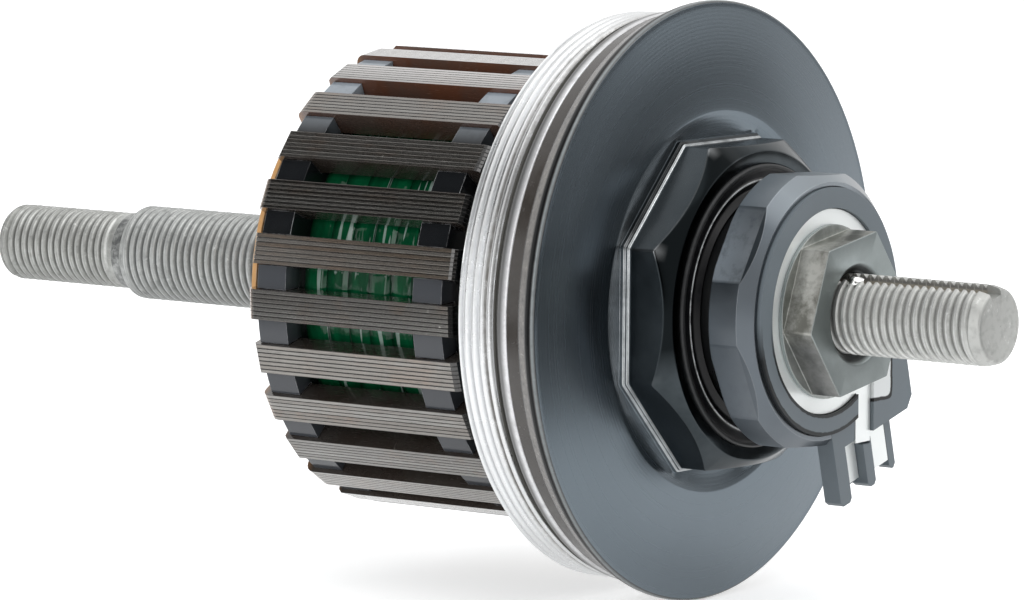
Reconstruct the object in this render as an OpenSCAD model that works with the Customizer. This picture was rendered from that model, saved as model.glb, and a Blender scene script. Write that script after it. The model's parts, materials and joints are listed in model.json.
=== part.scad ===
// Inner unit of a nutted front hub dynamo: axle, claw-pole stator, threaded hub cap, bearing and connector.
// The axle lies along Y. Stations are distances in mm from the middle of the axle towards the connector,
// which is the -Y end. Clock angles turn from +Z towards -X.

/* [Axle] */
// Length of the whole axle
axle_length = 135; // [130:1:150]
// Diameter of the thick threaded middle
axle_d = 10.8; // [10:0.2:12]
// Diameter of the thinner threaded ends
stub_d = 8.8; // [8:0.2:10]
// Length of the thin end that carries the left dropout
left_stub = 17.5; // [15:0.5:25]
// Station where the thin end on the connector side begins
thin_start = 43.5; // [43.3:0.1:43.7]
// Chamfer on both axle ends
axle_chamfer = 1; // [0.4:0.2:1.6]
// Width of the keyway for the lead
keyway_w = 2; // [1.6:0.2:2.4]
// Radius of the keyway floor
keyway_floor = 3.2; // [2.8:0.1:3.4]
// Clock angle of the keyway
keyway_angle = 13.7; // [10:0.5:18]

/* [Stator] */
// Number of poles, half of them from each side
pole_count = 26; // [24:2:28]
// Radius over the poles
stator_r = 25.6; // [25:0.1:27]
// Station of the middle of the stator
stator_mid = 0.7; // [0.3:0.1:1.2]
// Length of one laminated pack
pack_length = 27.8; // [26:0.2:29]
// How far the left packs stand out past the right ones
pole_stagger = 0.5; // [0.2:0.1:0.8]
// Plates in one pack
plate_count = 7; // [5:1:7]
// Thickness of one plate
plate_t = 0.42; // [0.4:0.01:0.45]
// Bonding seam between two plates
seam_t = 0.07; // [0.05:0.01:0.08]
// Depth of the seam under the plate edges
seam_inset = 0.06; // [0.04:0.01:0.1]
// Height of the pole bar over the coil
bar_h = 2.8; // [2.4:0.1:3.2]
// Height of the bar that runs back inside the coil
back_h = 2.8; // [2.4:0.1:3]
// Thickness of the leg at the closed end of a pack
leg_t = 1.2; // [1:0.1:1.6]
// Air between neighbouring packs inside the coil
pack_gap = 0.1; // [0.06:0.02:0.2]
// Corner radius at the closed end of a pack
pack_corner = 1; // [0.6:0.1:1.2]
// Chamfer on the free tip of a pole
tip_chamfer = 0.4; // [0.2:0.1:0.6]
// Clock angle of the first left pole
pole_angle = 8.9; // [6:0.1:12]

/* [Coil] */
// Wall of the bobbin tube
bobbin_wall = 0.75; // [0.6:0.05:1]
// Width of the left bobbin flange
flange_left = 3.85; // [3.3:0.05:4.2]
// Width of the right bobbin flange
flange_right = 3.85; // [3.3:0.05:4.2]
// Gap between the right flange and the legs of the right packs
flange_gap = 0.9; // [0.5:0.1:1.2]
// How far the bobbin teeth stay below the pole faces
tooth_drop = 0.45; // [0.3:0.05:0.8]
// Air between the tape and the poles
coil_air = 1.3; // [0.9:0.05:1.5]
// Thickness of the tape over the coil
tape_t = 0.35; // [0.25:0.05:0.5]
// Diameter of the insulated leads
lead_d = 1.1; // [0.9:0.1:1.2]

/* [Stator clamp] */
// Radius of the clamp plates
clamp_r = 19.2; // [18.4:0.1:19.4]
// Thickness of each clamp plate
clamp_t = 1.5; // [1.2:0.1:2]
// Radius of the stator washer
washer_r = 10; // [9.5:0.25:10.5]
// Thickness of the stator washer
washer_t = 1; // [0.8:0.1:1.4]
// Across flats of the stator nut
stator_nut_af = 17; // [16:0.5:18]
// Height of the stator nut
stator_nut_h = 5.5; // [4.5:0.5:7]
// Outer radius of the lead guard
guard_r = 23.9; // [23:0.1:24.4]
// Thickness of the lead guard
guard_t = 0.6; // [0.5:0.1:0.9]

/* [Threaded ring] */
// Radius over the thread
ring_r = 31; // [30.6:0.1:31.4]
// Radius of the bore that sits on the cap
ring_bore_r = 28.8; // [28.4:0.1:29.2]
// Station of the edge that faces the stator
ring_start = 19.2; // [18.6:0.1:19.6]
// Length of the thread
thread_length = 4.7; // [4.2:0.1:4.8]
// Width of the relief groove behind the thread
groove_w = 0.7; // [0.6:0.05:0.8]
// Radius at the floor of the relief groove
groove_r = 30.1; // [29.8:0.1:30.3]
// How far the shoulder stands over the thread
shoulder_rise = 0.3; // [0.2:0.05:0.4]
// Thickness of the O-ring in the groove
o_ring_t = 0.66; // [0.5:0.02:0.68]

/* [Hub cap] */
// Radius of the cap rim
cap_r = 32.7; // [32:0.1:33.2]
// Station of the cap's back face, where the threaded ring seats
cap_back = 25.8; // [25.4:0.1:26.1]
// Station of the rim's front edge
rim_front = 30.3; // [30:0.1:30.8]
// Station of the inner edge of the dished face
face_front = 31.5; // [31:0.1:31.8]
// Station of the front of the octagonal boss
boss_front = 37.1; // [36.8:0.1:37.6]
// Across flats of the octagonal boss
boss_af = 34.9; // [34:0.1:35.5]
// Height of the step that runs around the foot of the boss
boss_step = 0.45; // [0.3:0.05:0.6]
// Station where the front cone cuts the boss corners
boss_cone_start = 35; // [34.5:0.1:35.5]
// Clock angle of one boss flat
boss_angle = -0.8; // [-20:0.2:20]
// Wall of the spigot that carries the threaded ring
spigot_wall = 2.2; // [1.8:0.1:2.6]

/* [Bearing] */
// Ball diameter
ball_d = 4.76; // [4.6:0.02:4.9]
// Number of balls
ball_count = 10; // [8:1:10]
// Radius of the ball circle
ball_circle = 10.6; // [10.4:0.1:10.8]
// Station of the ball circle
ball_station = 31.8; // [31.6:0.1:32]
// Gap between a ball and its races and pocket
ball_fit = 0.04; // [0.03:0.01:0.08]
// Outer radius of the bearing cup
cup_r = 14.3; // [14:0.1:14.6]
// Distance from the bearing cup's back to the ball circle
cup_depth = 3.8; // [3.7:0.05:3.9]
// Distance from the ball circle to the cone's neck
neck_step = 3.8; // [3.7:0.05:3.9]
// Outer radius of the dust seal
seal_r = 15.4; // [15.2:0.1:15.6]
// Radial distance from the seal's rim to the neck it runs on
seal_w = 3.4; // [3.2:0.1:3.6]
// Gap between the seal lip and the neck
seal_gap = 0.3; // [0.2:0.05:0.4]
// Outer radius of the spacer sleeve
spacer_r = 7.9; // [7.4:0.1:8]

/* [End nut] */
// Turned radius over the corners of the six-flat end nut
end_nut_r = 15.33; // [15:0.1:15.7]
// Across flats of the end nut
end_nut_af = 29.2; // [28.6:0.1:29.6]
// Station of the end nut's back face
end_nut_back = 40.4; // [40:0.1:40.8]
// Station of the end nut's front face
end_nut_front = 45.6; // [45.3:0.1:45.9]
// Radius of the end nut's front edge
end_nut_face_r = 13.95; // [13.8:0.05:14.2]
// Clock angle of one flat of the end nut
end_nut_angle = 56.4; // [50:0.2:60]

/* [Connector] */
// Outer radius of the plastic ring
connector_r = 13.4; // [13.2:0.05:13.5]
// Inner radius of the raised bead round the ground plate
bead_r = 11.15; // [10.9:0.05:11.4]
// Height of the bead over the end nut
bead_rise = 0.45; // [0.35:0.05:0.6]
// Thickness of the ring's floor
connector_floor = 2.35; // [2.2:0.05:2.5]
// Clock angle that the terminal block hangs at
block_angle = 194; // [190:0.5:196]
// Thickness of the terminal block
block_t = 2.05; // [1.95:0.05:2.1]
// Distance from the axle to the end of the terminal ribs
block_reach = 21.9; // [21:0.1:23]
// Distance from the axle to the lower edge of the shoulder
shoulder_reach = 15.6; // [15.2:0.1:16]
// Width of one contact
contact_w = 3.2; // [2.9:0.05:3.3]
// Thickness of the contacts and the ground plate
contact_t = 0.8; // [0.6:0.05:0.9]
// Width of the slot for the ground plate's tongue
slot_w = 3; // [2.8:0.05:3.2]
// Distance of that slot from the axle, sideways
slot_side = 7.2; // [7:0.1:7.4]
// How far the contacts' clips lie behind the ground plate
contact_step = 0.25; // [0.2:0.05:0.3]

/* [Axle nut] */
// Across flats
axle_nut_af = 16.1; // [15:0.1:17]
// Station of the outer face, where the dropout bears
axle_nut_front = 49.7; // [49.4:0.1:50.2]
// Radius of its flange
flange_r = 9.4; // [9.2:0.1:10]
// Thickness of its flange
flange_t = 0.5; // [0.4:0.1:0.9]
// Radius of the countersink in its face
countersink_r = 5.5; // [5:0.1:5.8]

/* [Fits] */
// Running gap of a sliding or threaded piece on the axle, on the radius
axle_fit = 0.05; // [0.03:0.01:0.08]
// Gap of a loose seat between two fixed pieces
seat_fit = 0.08; // [0.05:0.01:0.1]

/* [Hidden] */
$fn = 96;
cut = 1; // how far a cutting body stands past the surface it opens

axle_r = axle_d / 2;
stub_r = stub_d / 2;
axle_bore_r = axle_r + axle_fit;
axle_end = axle_length / 2;

pairs = pole_count / 2;
pole_pitch = 360 / pole_count;
pack_w = plate_count * plate_t + (plate_count - 1) * seam_t;
back_r = (pack_w + pack_gap) / 2 / tan(pole_pitch / 2);
bar_r = stator_r - bar_h;
left_start = stator_mid - (pack_length + pole_stagger) / 2;
right_end = stator_mid + (pack_length + pole_stagger) / 2;
bobbin_start = left_start + leg_t;
bobbin_end = right_end - leg_t - flange_gap;
bobbin_bore_r = norm([back_r + back_h, pack_w / 2]) + seat_fit;
bobbin_tube_r = bobbin_bore_r + bobbin_wall;
coil_start = bobbin_start + flange_left;
coil_end = bobbin_end - flange_right;
tape_r = bar_r - coil_air;
core_r = back_r - seat_fit;
clamp_left = left_start - clamp_t;
clamp_right = right_end + clamp_t;
washer_start = clamp_left - washer_t;
lead_r = lead_d / 2;
lead_exit_r = tape_r - 2.5 * lead_r;
lead_hole_r = lead_r + seat_fit;
ground_angle = pole_angle + 5 * pole_pitch;
keyway_lead_r = keyway_floor + lead_r + seat_fit;

thread_end = ring_start + thread_length;
groove_end = thread_end + groove_w;
shoulder_r = ring_r + shoulder_rise;
spigot_r = ring_bore_r - axle_fit;

race_r = ball_d / 2 + ball_fit;
neck_r = seal_r - seal_w;
cup_start = ball_station - cup_depth;
cup_end = ball_station + 2.8;
seal_start = cup_end + 0.6;
seal_end = boss_front + 0.3;
neck_start = ball_station + neck_step;
cage_r = [ball_circle + 0.6, ball_circle + 2.1];
cage_s = [ball_station + 0.1, ball_station + 3.15];
cone_start = ball_station - 2.3;

recess_r = connector_r + seat_fit;
bead_front = end_nut_front + bead_rise;
plate_front = bead_front - 0.4;
plate_start = plate_front - contact_t;
connector_start = plate_start - connector_floor;
block_start = end_nut_front - block_t;
live_start = block_start + 0.4;
live_end = live_start + contact_t - 0.2;
live_ring_r = [axle_bore_r + 0.75, axle_bore_r + 2.85];
clip_start = plate_start - contact_step;
clip_end = clip_start + contact_t - 0.2;
bridge_reach = shoulder_reach + 0.5;

block_left = -2.2;
rib_w = 1.6;
live_left = block_left + rib_w + 0.7;
mid_rib = live_left + contact_w + 0.1;
ground_left = mid_rib + rib_w + 0.1;
end_rib = ground_left + contact_w;
block_right = end_rib + 1.3;
shoulder_side = connector_r - 0.1;
shoulder_chamfer = 1.2;

left_poles = [for (i = [1:pairs]) str("pole_left_", i < 10 ? "0" : "", i)];
right_poles = [for (i = [1:pairs]) str("pole_right_", i < 10 ? "0" : "", i)];

// Children stand on the axle: their z runs along the stations and their y points to the clock angle
module at_station(s, clock = 0) {
    translate([0, -s, 0]) rotate([90, 0, 0]) rotate([0, 0, clock]) children();
}

// A turned solid from a list of [radius, station] points
module turned(profile) {
    at_station(0) rotate_extrude() polygon(profile);
}

// A turned ring of round section
module turned_bead(r, s, bead) {
    at_station(0) rotate_extrude() translate([r, s]) circle(r = bead, $fn = 48);
}

module tube(r_in, r_out, s0, s1) {
    turned([[r_in, s0], [r_out, s0], [r_out, s1], [r_in, s1]]);
}

module rod(r, s0, s1) {
    at_station(s0) cylinder(r = r, h = s1 - s0);
}

// A flat shape at a clock angle, its points given as [sideways, away from the axle]
module clock_shape(clock, points, s) {
    at_station(s[0], clock) mirror([1, 0, 0]) linear_extrude(s[1] - s[0]) polygon(points);
}

// A block at a clock angle: side is its sideways range, up its range away from the axle
module clock_block(clock, side, up, s) {
    clock_shape(clock, [[side[0], up[0]], [side[1], up[0]], [side[1], up[1]], [side[0], up[1]]], s);
}

// A prism with a regular outline, one flat facing the clock angle
module flats_prism(sides, af, s0, s1, clock) {
    at_station(s0, clock) rotate([0, 0, 90 - 180 / sides])
        cylinder(r = af / 2 / cos(180 / sides), h = s1 - s0, $fn = sides);
}

// A wire whose runs are [radius, station] points at one clock angle, with round joints
module wire(clock, points, r) {
    at_station(0, clock) for (i = [0:len(points) - 1]) {
        here = [0, points[i][0], points[i][1]];
        translate(here) sphere(r = r, $fn = 24);
        if (i < len(points) - 1) {
            step = [0, points[i + 1][0], points[i + 1][1]] - here;
            translate(here) rotate([-atan2(step[1], step[2]), 0, 0])
                cylinder(r = r, h = norm(step), $fn = 24);
        }
    }
}

// Axle: thick middle, thinner ends with a thread relief at the nut's face, and the keyway for the lead
module axle() {
    color("silver") difference() {
        turned([
            [0, -axle_end], [stub_r - axle_chamfer, -axle_end], [stub_r, -axle_end + axle_chamfer],
            [stub_r, left_stub - axle_end], [axle_r - 0.3, left_stub - axle_end],
            [axle_r, left_stub - axle_end + 0.8], [axle_r, thin_start - 0.5], [stub_r, thin_start],
            [stub_r, axle_nut_front - 0.7], [stub_r - 0.2, axle_nut_front - 0.6],
            [stub_r - 0.2, axle_nut_front], [stub_r, axle_nut_front + 0.1],
            [stub_r, axle_end - axle_chamfer], [stub_r - axle_chamfer, axle_end], [0, axle_end]]);
        clock_block(keyway_angle, [-keyway_w / 2, keyway_w / 2], [keyway_floor, axle_r + cut],
            [right_end - 1, axle_end + cut]);
    }
}

// Outline of a laminated pack in radius and station, closed at the low end; inset shrinks it for a seam
function pack_outline(inset) =
    let (s0 = left_start + inset,
         s1 = left_start + pack_length - inset,
         low = back_r + inset,
         top = stator_r - inset,
         corner = pack_corner - inset / 2,
         back_end = bobbin_end - inset)
    concat(
        [[low, s0]],
        [for (a = [0:22.5:90]) [top - corner + corner * sin(a), s0 + corner - corner * cos(a)]],
        [[top, s1 - tip_chamfer], [top - tip_chamfer, s1], [bar_r + inset, s1],
         [bar_r + inset, s0 + leg_t - 2 * inset], [back_r + back_h - inset, s0 + leg_t - 2 * inset],
         [back_r + back_h - inset, back_end], [low, back_end]]);

// One pack of bonded plates; the right packs are the left ones turned end for end
module laminated_pack(clock, flipped) {
    pitch = plate_t + seam_t;
    plates = [for (i = [0:plate_count - 1]) [-pack_w / 2 + i * pitch, plate_t, 0]];
    seams = [for (i = [0:plate_count - 2]) [-pack_w / 2 + i * pitch + plate_t, seam_t, seam_inset]];
    at_station(flipped ? 2 * stator_mid : 0, clock) mirror([0, 0, flipped ? 1 : 0])
        for (layer = concat(plates, seams))
            translate([layer[0], 0, 0]) rotate([90, 0, 90])
                linear_extrude(layer[1]) polygon(pack_outline(layer[2]));
}

module pole_left(i) {
    color("dimgray") laminated_pack(pole_angle + 2 * (i - 1) * pole_pitch, false);
}

module pole_right(i) {
    color("slategray") laminated_pack(pole_angle + (2 * i - 1) * pole_pitch, true);
}

// Sleeve that carries the packs on the axle
module core_sleeve() {
    color("gainsboro") tube(axle_bore_r, core_r, left_start, right_end);
}

// Bobbin: tube and two flanges whose teeth keep the poles apart
module bobbin() {
    tooth_r = stator_r - tooth_drop;
    slot = pack_w / 2 + 0.05;
    flange_cuts = [[bobbin_start - cut, coil_start + 0.1], [coil_end - 0.1, bobbin_end + cut]];
    color([0.1, 0.1, 0.1]) difference() {
        turned([
            [bobbin_bore_r, bobbin_start], [tooth_r, bobbin_start], [tooth_r, coil_start],
            [bobbin_tube_r, coil_start], [bobbin_tube_r, coil_end], [tooth_r, coil_end],
            [tooth_r, bobbin_end], [bobbin_bore_r, bobbin_end]]);
        for (i = [0:pole_count - 1], s = flange_cuts)
            clock_block(pole_angle + i * pole_pitch, [-slot, slot], [bar_r - seat_fit, stator_r + cut], s);
        at_station(coil_end - cut, keyway_angle) translate([0, lead_exit_r, 0])
            cylinder(r = lead_hole_r, h = flange_right + 2 * cut, $fn = 24);
        at_station(bobbin_start - cut, ground_angle) translate([0, lead_exit_r, 0])
            cylinder(r = lead_hole_r, h = flange_left + 2 * cut, $fn = 24);
    }
}

// Copper winding under the tape
module coil_winding() {
    color("peru") tube(bobbin_tube_r, tape_r - tape_t, coil_start, coil_end);
}

// Tape wound in overlapping turns, so that its face steps up and down
module coil_tape() {
    width = (coil_end - coil_start) / 6;
    color("seagreen") turned(concat(
        [[tape_r - tape_t, coil_start]],
        [for (i = [0:5], edge = [0, 1]) [tape_r - (i % 2) * tape_t / 2, coil_start + (i + edge) * width]],
        [[tape_r - tape_t, coil_end]]));
}

// Clamp plates press the packs together; each has a slot that lets its lead pass
module clamp_plate_left() {
    color("silver") difference() {
        tube(axle_bore_r, clamp_r, clamp_left, left_start);
        clock_block(ground_angle, [-lead_hole_r, lead_hole_r], [axle_r + cut, stator_r],
            [clamp_left - cut, left_start + cut]);
    }
}

module clamp_plate_right() {
    color("silver") difference() {
        tube(axle_bore_r, clamp_r, right_end, clamp_right);
        clock_block(keyway_angle, [-lead_hole_r, lead_hole_r], [0, stator_r],
            [right_end - cut, clamp_right + cut]);
    }
}

module stator_washer() {
    color("silver") tube(axle_bore_r, washer_r, washer_start, clamp_left);
}

// Nut that draws the stator together on the left
module stator_nut() {
    color("silver") difference() {
        intersection() {
            flats_prism(6, stator_nut_af, washer_start - stator_nut_h, washer_start, 0);
            turned([[0, washer_start - stator_nut_h], [stator_nut_af / 2, washer_start - stator_nut_h],
                [stator_nut_af * 0.6, washer_start - stator_nut_h + 1], [stator_nut_af * 0.6, washer_start],
                [0, washer_start]]);
        }
        rod(axle_bore_r, washer_start - stator_nut_h - cut, washer_start + cut);
    }
}

// Fibre guard over the place where the coil's lead comes out
module lead_guard() {
    span = [pole_angle + 2.7 * pole_pitch, pole_angle + 6 * pole_pitch];
    guard_in = lead_exit_r + lead_hole_r;
    color("goldenrod") at_station(left_start - guard_t, span[0] + 90)
        rotate_extrude(angle = span[1] - span[0])
            translate([guard_in, 0]) square([guard_r - guard_in, guard_t]);
}

// Start of the coil, laid in the left clamp plate's slot and earthed under the washer
module ground_lead() {
    depth = left_start - lead_r - seat_fit;
    color("darkgoldenrod") wire(ground_angle,
        [[lead_exit_r, coil_start - lead_r], [lead_exit_r, depth],
         [axle_r + cut + lead_r + seat_fit, depth]], lead_r);
}

// End of the coil, laid through the right clamp plate and along the keyway into the connector
module live_lead() {
    depth = right_end + lead_r + seat_fit;
    tail = live_start - lead_r - 0.02;
    color("firebrick") wire(keyway_angle,
        [[lead_exit_r, coil_end + lead_r], [lead_exit_r, depth], [keyway_lead_r, depth],
         [keyway_lead_r, tail], [live_ring_r[0] + lead_r + 0.3, tail]], lead_r);
}

module spacer_sleeve() {
    color("lightgray") tube(axle_bore_r, spacer_r, clamp_right, cone_start);
}

// Cone with its ball race and the neck that the seal runs on
module bearing_cone() {
    color("lightslategray") difference() {
        turned([
            [axle_bore_r, cone_start], [spacer_r, cone_start], [spacer_r + 0.2, ball_station],
            [ball_circle - 0.3, ball_station + 0.4], [ball_circle - 0.3, neck_start],
            [neck_r, neck_start], [neck_r, end_nut_back], [axle_bore_r, end_nut_back]]);
        turned_bead(ball_circle, ball_station, race_r);
    }
}

// End nut: six flats on a turned body, coned at the front, with a recess and a keyed notch for the connector
module end_nut() {
    cone = end_nut_r - end_nut_face_r;
    color("dimgray") difference() {
        intersection() {
            turned([
                [0, end_nut_back], [end_nut_r - 0.5, end_nut_back], [end_nut_r, end_nut_back + 0.3],
                [end_nut_r, end_nut_front - cone], [end_nut_face_r, end_nut_front], [0, end_nut_front]]);
            flats_prism(6, end_nut_af, end_nut_back, end_nut_front, end_nut_angle);
        }
        rod(axle_bore_r, end_nut_back - cut, end_nut_front);
        rod(recess_r, connector_start, end_nut_front + cut);
        clock_block(block_angle, [block_left - seat_fit, end_nut_r + cut], [0, end_nut_r + cut],
            [block_start - seat_fit, end_nut_front + cut]);
    }
}

// Outline of the connector's square shoulder, sideways and away from the axle
function shoulder_outline() = [
    [block_left, 0], [shoulder_side, 0], [shoulder_side, shoulder_reach - shoulder_chamfer],
    [shoulder_side - shoulder_chamfer, shoulder_reach], [block_left, shoulder_reach]];

// Outline of one rib, chamfered at its free corners
function rib_outline(side0, side1, reach) = [
    [side0, bead_r], [side1, bead_r], [side1, reach - 0.4], [side1 - 0.4, reach],
    [side0 + 0.5, reach], [side0, reach - 0.5]];

// The ground plate's tongue hangs straight down beside the axle; reach is how far
module tongue(half, s, reach) {
    translate([slot_side - half, -s[1], -reach]) cube([2 * half, s[1] - s[0], reach - bead_r / 2]);
}

// The ground plate's clip, with the bridge that joins it to the tongue; grow widens it for its pocket
module clip(grow) {
    clock_block(block_angle, [mid_rib - grow, end_rib + grow],
        [shoulder_reach - 0.9 - grow, bridge_reach + grow], [clip_start, clip_end + grow]);
}

// Connector: ring with a bead round the ground plate, and a terminal block with three ribs
module connector_body() {
    color([0.13, 0.14, 0.15]) difference() {
        union() {
            tube(axle_bore_r + seat_fit, connector_r, connector_start, bead_front);
            clock_shape(block_angle, shoulder_outline(), [block_start, end_nut_front]);
            intersection() {
                clock_shape(block_angle, shoulder_outline(), [block_start, bead_front]);
                translate([slot_side, -bead_front, -stator_r])
                    cube([stator_r, bead_front, 2 * stator_r]);
            }
            clock_block(block_angle, [block_left + 0.3, block_right - 0.3], [bead_r, block_reach - 0.9],
                [block_start, live_start]);
            clock_block(block_angle, [mid_rib, block_right - 0.3], [bead_r, block_reach - 1.3],
                [block_start, clip_start]);
            clock_shape(block_angle, rib_outline(block_left, live_left - 0.1, block_reach),
                [block_start, end_nut_front]);
            difference() {
                clock_shape(block_angle, rib_outline(mid_rib, mid_rib + rib_w, block_reach - 0.2),
                    [block_start, end_nut_front]);
                clock_block(block_angle, [mid_rib - cut, end_rib], [shoulder_reach, bridge_reach + 0.1],
                    [clip_start, end_nut_front + cut]);
            }
            clock_shape(block_angle, rib_outline(end_rib + 0.1, block_right, block_reach - 0.4),
                [block_start, end_nut_front - 0.4]);
        }
        rod(axle_bore_r + seat_fit, connector_start - cut, plate_start + cut);
        rod(bead_r, plate_start, bead_front + cut);
        tongue(slot_w / 2, [plate_start, bead_front + cut], shoulder_reach - 0.3);
        clip(0.1);
        tube(live_ring_r[0], live_ring_r[1], live_start, live_end);
        clock_block(block_angle, [live_left, live_left + contact_w], [live_ring_r[0], shoulder_reach + 0.1],
            [live_start, live_end]);
        at_station(connector_start - cut, keyway_angle) translate([-lead_hole_r, 0, 0])
            cube([2 * lead_hole_r, live_ring_r[1], live_start - connector_start + cut]);
    }
}

// Ground plate: washer under the axle nut, tongue through the slot, and the clip beside the middle rib
module ground_plate() {
    color("whitesmoke") difference() {
        union() {
            rod(bead_r - seat_fit, plate_start, plate_front);
            tongue(slot_w / 2 - seat_fit, [plate_start, plate_front], shoulder_reach - 0.6);
            clip(0);
            clock_block(block_angle, [ground_left, end_rib], [shoulder_reach, block_reach - 1.6],
                [clip_start, clip_end]);
        }
        rod(stub_r + axle_fit, plate_start - cut, plate_front + cut);
    }
}

// Live contact: ring round the axle inside the connector, with the blade that the lamp lead clips on
module live_contact() {
    color("whitesmoke") difference() {
        union() {
            rod(live_ring_r[1], live_start, live_end);
            clock_block(block_angle, [live_left, live_left + contact_w], [live_ring_r[0], block_reach - 1.4],
                [live_start, live_end]);
        }
        rod(live_ring_r[0], live_start - cut, live_end + cut);
    }
}

// Flanged nut that clamps the connector and bears on the dropout
module axle_nut() {
    corner_r = axle_nut_af / sqrt(3);
    color("silver") difference() {
        union() {
            rod(flange_r, plate_front, plate_front + flange_t);
            intersection() {
                flats_prism(6, axle_nut_af, plate_front + flange_t, axle_nut_front, 8);
                turned([[0, plate_front], [corner_r, plate_front], [corner_r, axle_nut_front - 0.15],
                    [corner_r - 0.3, axle_nut_front], [0, axle_nut_front]]);
            }
        }
        rod(stub_r + axle_fit, plate_front - cut, axle_nut_front + cut);
        turned([[0, axle_nut_front - 1], [stub_r, axle_nut_front - 1], [countersink_r, axle_nut_front],
            [countersink_r, axle_nut_front + cut], [0, axle_nut_front + cut]]);
    }
}

// Hub cap: dished disc with an octagonal boss in front and the spigot for the threaded ring behind
module hub_cap() {
    boss_corner_r = boss_af / 2 / cos(22.5);
    boss_foot = face_front - 0.6;
    foot_r = boss_corner_r + boss_step + 0.35;
    web_back = cap_back + 1.2;
    color([0.16, 0.17, 0.18]) difference() {
        union() {
            turned(concat(
                [[cup_r - 2.6, cup_start - 1.6], [cup_r + 2.4, cup_start - 1.6], [cup_r + 3, web_back],
                 [spigot_r - spigot_wall, web_back], [spigot_r - spigot_wall, ring_start + 0.6],
                 [spigot_r, ring_start + 0.6], [spigot_r, cap_back], [shoulder_r, cap_back],
                 [shoulder_r + 0.15, cap_back + 1.7], [shoulder_r + 0.5, cap_back + 1.9],
                 [cap_r - 0.15, rim_front - 1.1], [cap_r, rim_front - 0.7], [cap_r, rim_front - 0.2],
                 [cap_r - 0.2, rim_front], [cap_r - 0.6, rim_front]],
                [for (i = [1:4]) let (t = i / 5) [cap_r - 0.6 + (foot_r + 1.7 - cap_r) * t,
                    rim_front + (face_front - rim_front) * (0.7 * sin(90 * t) + 0.3 * t)]],
                [[foot_r + 1.1, face_front], [foot_r + 0.5, face_front - 0.3], [foot_r, boss_foot],
                 [cup_r - 2.6, boss_foot]]));
            intersection() {
                flats_prism(8, boss_af, web_back, boss_front, boss_angle);
                turned([[0, web_back], [foot_r, web_back],
                    [foot_r, boss_cone_start - (foot_r - boss_corner_r)],
                    [boss_corner_r - (boss_front - boss_cone_start), boss_front], [0, boss_front]]);
            }
            flats_prism(8, boss_af + 2 * boss_step, web_back, face_front, boss_angle);
            flats_prism(8, boss_af + boss_step, web_back, face_front + 0.35, boss_angle);
        }
        rod(cup_r - 2.6, cap_back - cut, cup_start + cut);
        rod(cup_r - axle_fit / 2, cup_start, seal_start);
        rod(seal_r, seal_start, boss_front + cut);
    }
}

// Threaded ring pressed on the cap; it screws into the hub shell. The thread itself is cut in the finish
module threaded_ring() {
    color("gainsboro") turned([
        [ring_bore_r, ring_start + 0.3], [ring_bore_r + 0.3, ring_start], [ring_r - 0.5, ring_start],
        [ring_r, ring_start + 0.5], [ring_r, thread_end - 0.2], [ring_r - 0.2, thread_end],
        [groove_r, thread_end], [groove_r, groove_end], [shoulder_r - 0.25, groove_end],
        [shoulder_r, groove_end + 0.25], [shoulder_r, cap_back - 0.2], [shoulder_r - 0.2, cap_back],
        [ring_bore_r, cap_back]]);
}

module o_ring() {
    color([0.08, 0.08, 0.08])
        turned_bead(groove_r + o_ring_t / 2, (thread_end + groove_end) / 2, o_ring_t / 2);
}

// Cup pressed in the cap
module bearing_cup() {
    lip_r = ball_circle - 1;
    color("lightslategray") difference() {
        turned([
            [lip_r, cup_start], [cup_r - 0.4 - axle_fit, cup_start], [cup_r - axle_fit, cup_start + 0.4],
            [cup_r - axle_fit, cup_end], [ball_circle + race_r, cup_end],
            [ball_circle + race_r, ball_station], [lip_r, ball_station - 1]]);
        turned_bead(ball_circle, ball_station, race_r);
    }
}

// Rubber seal in the mouth of the boss, ribbed on its face, with a lip that runs at the cone's neck
module dust_seal() {
    lip_r = neck_r + seal_gap;
    color([0.06, 0.06, 0.06]) turned([
        [lip_r + 0.6, seal_start], [seal_r - 0.02, seal_start], [seal_r - 0.02, seal_end - 0.15],
        [seal_r - 0.2, seal_end], [seal_r - 0.5, seal_end], [seal_r - 0.7, seal_end - 0.35],
        [seal_r - 1.1, seal_end - 0.35], [seal_r - 1.3, seal_end - 0.1], [seal_r - 1.6, seal_end - 0.1],
        [seal_r - 1.8, seal_end - 0.45], [lip_r + 0.5, seal_end - 0.45], [lip_r, seal_end + 0.25],
        [lip_r, seal_end - 0.3], [lip_r + 0.6, seal_start + 0.8]]);
}

// Retainer ring with one round pocket for each ball
module ball_retainer() {
    color("khaki") difference() {
        tube(cage_r[0], cage_r[1], cage_s[0], cage_s[1]);
        for (i = [0:ball_count - 1]) at_station(ball_station, i * 360 / ball_count)
            translate([0, ball_circle, 0]) sphere(r = race_r, $fn = 48);
    }
}

module bearing_balls() {
    color("lightsteelblue") for (i = [0:ball_count - 1]) at_station(ball_station, i * 360 / ball_count)
        translate([0, ball_circle, 0]) sphere(r = ball_d / 2, $fn = 48);
}

axle();
core_sleeve();
bobbin();
coil_winding();
coil_tape();
for (i = [1:pairs]) pole_left(i);
for (i = [1:pairs]) pole_right(i);
clamp_plate_left();
clamp_plate_right();
stator_washer();
stator_nut();
lead_guard();
ground_lead();
live_lead();
spacer_sleeve();
bearing_cone();
end_nut();
connector_body();
ground_plate();
live_contact();
axle_nut();
hub_cap();
threaded_ring();
o_ring();
bearing_cup();
dust_seal();
ball_retainer();
bearing_balls();
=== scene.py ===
import json
import math

import bmesh
import bpy
from mathutils import Matrix, Vector


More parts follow.
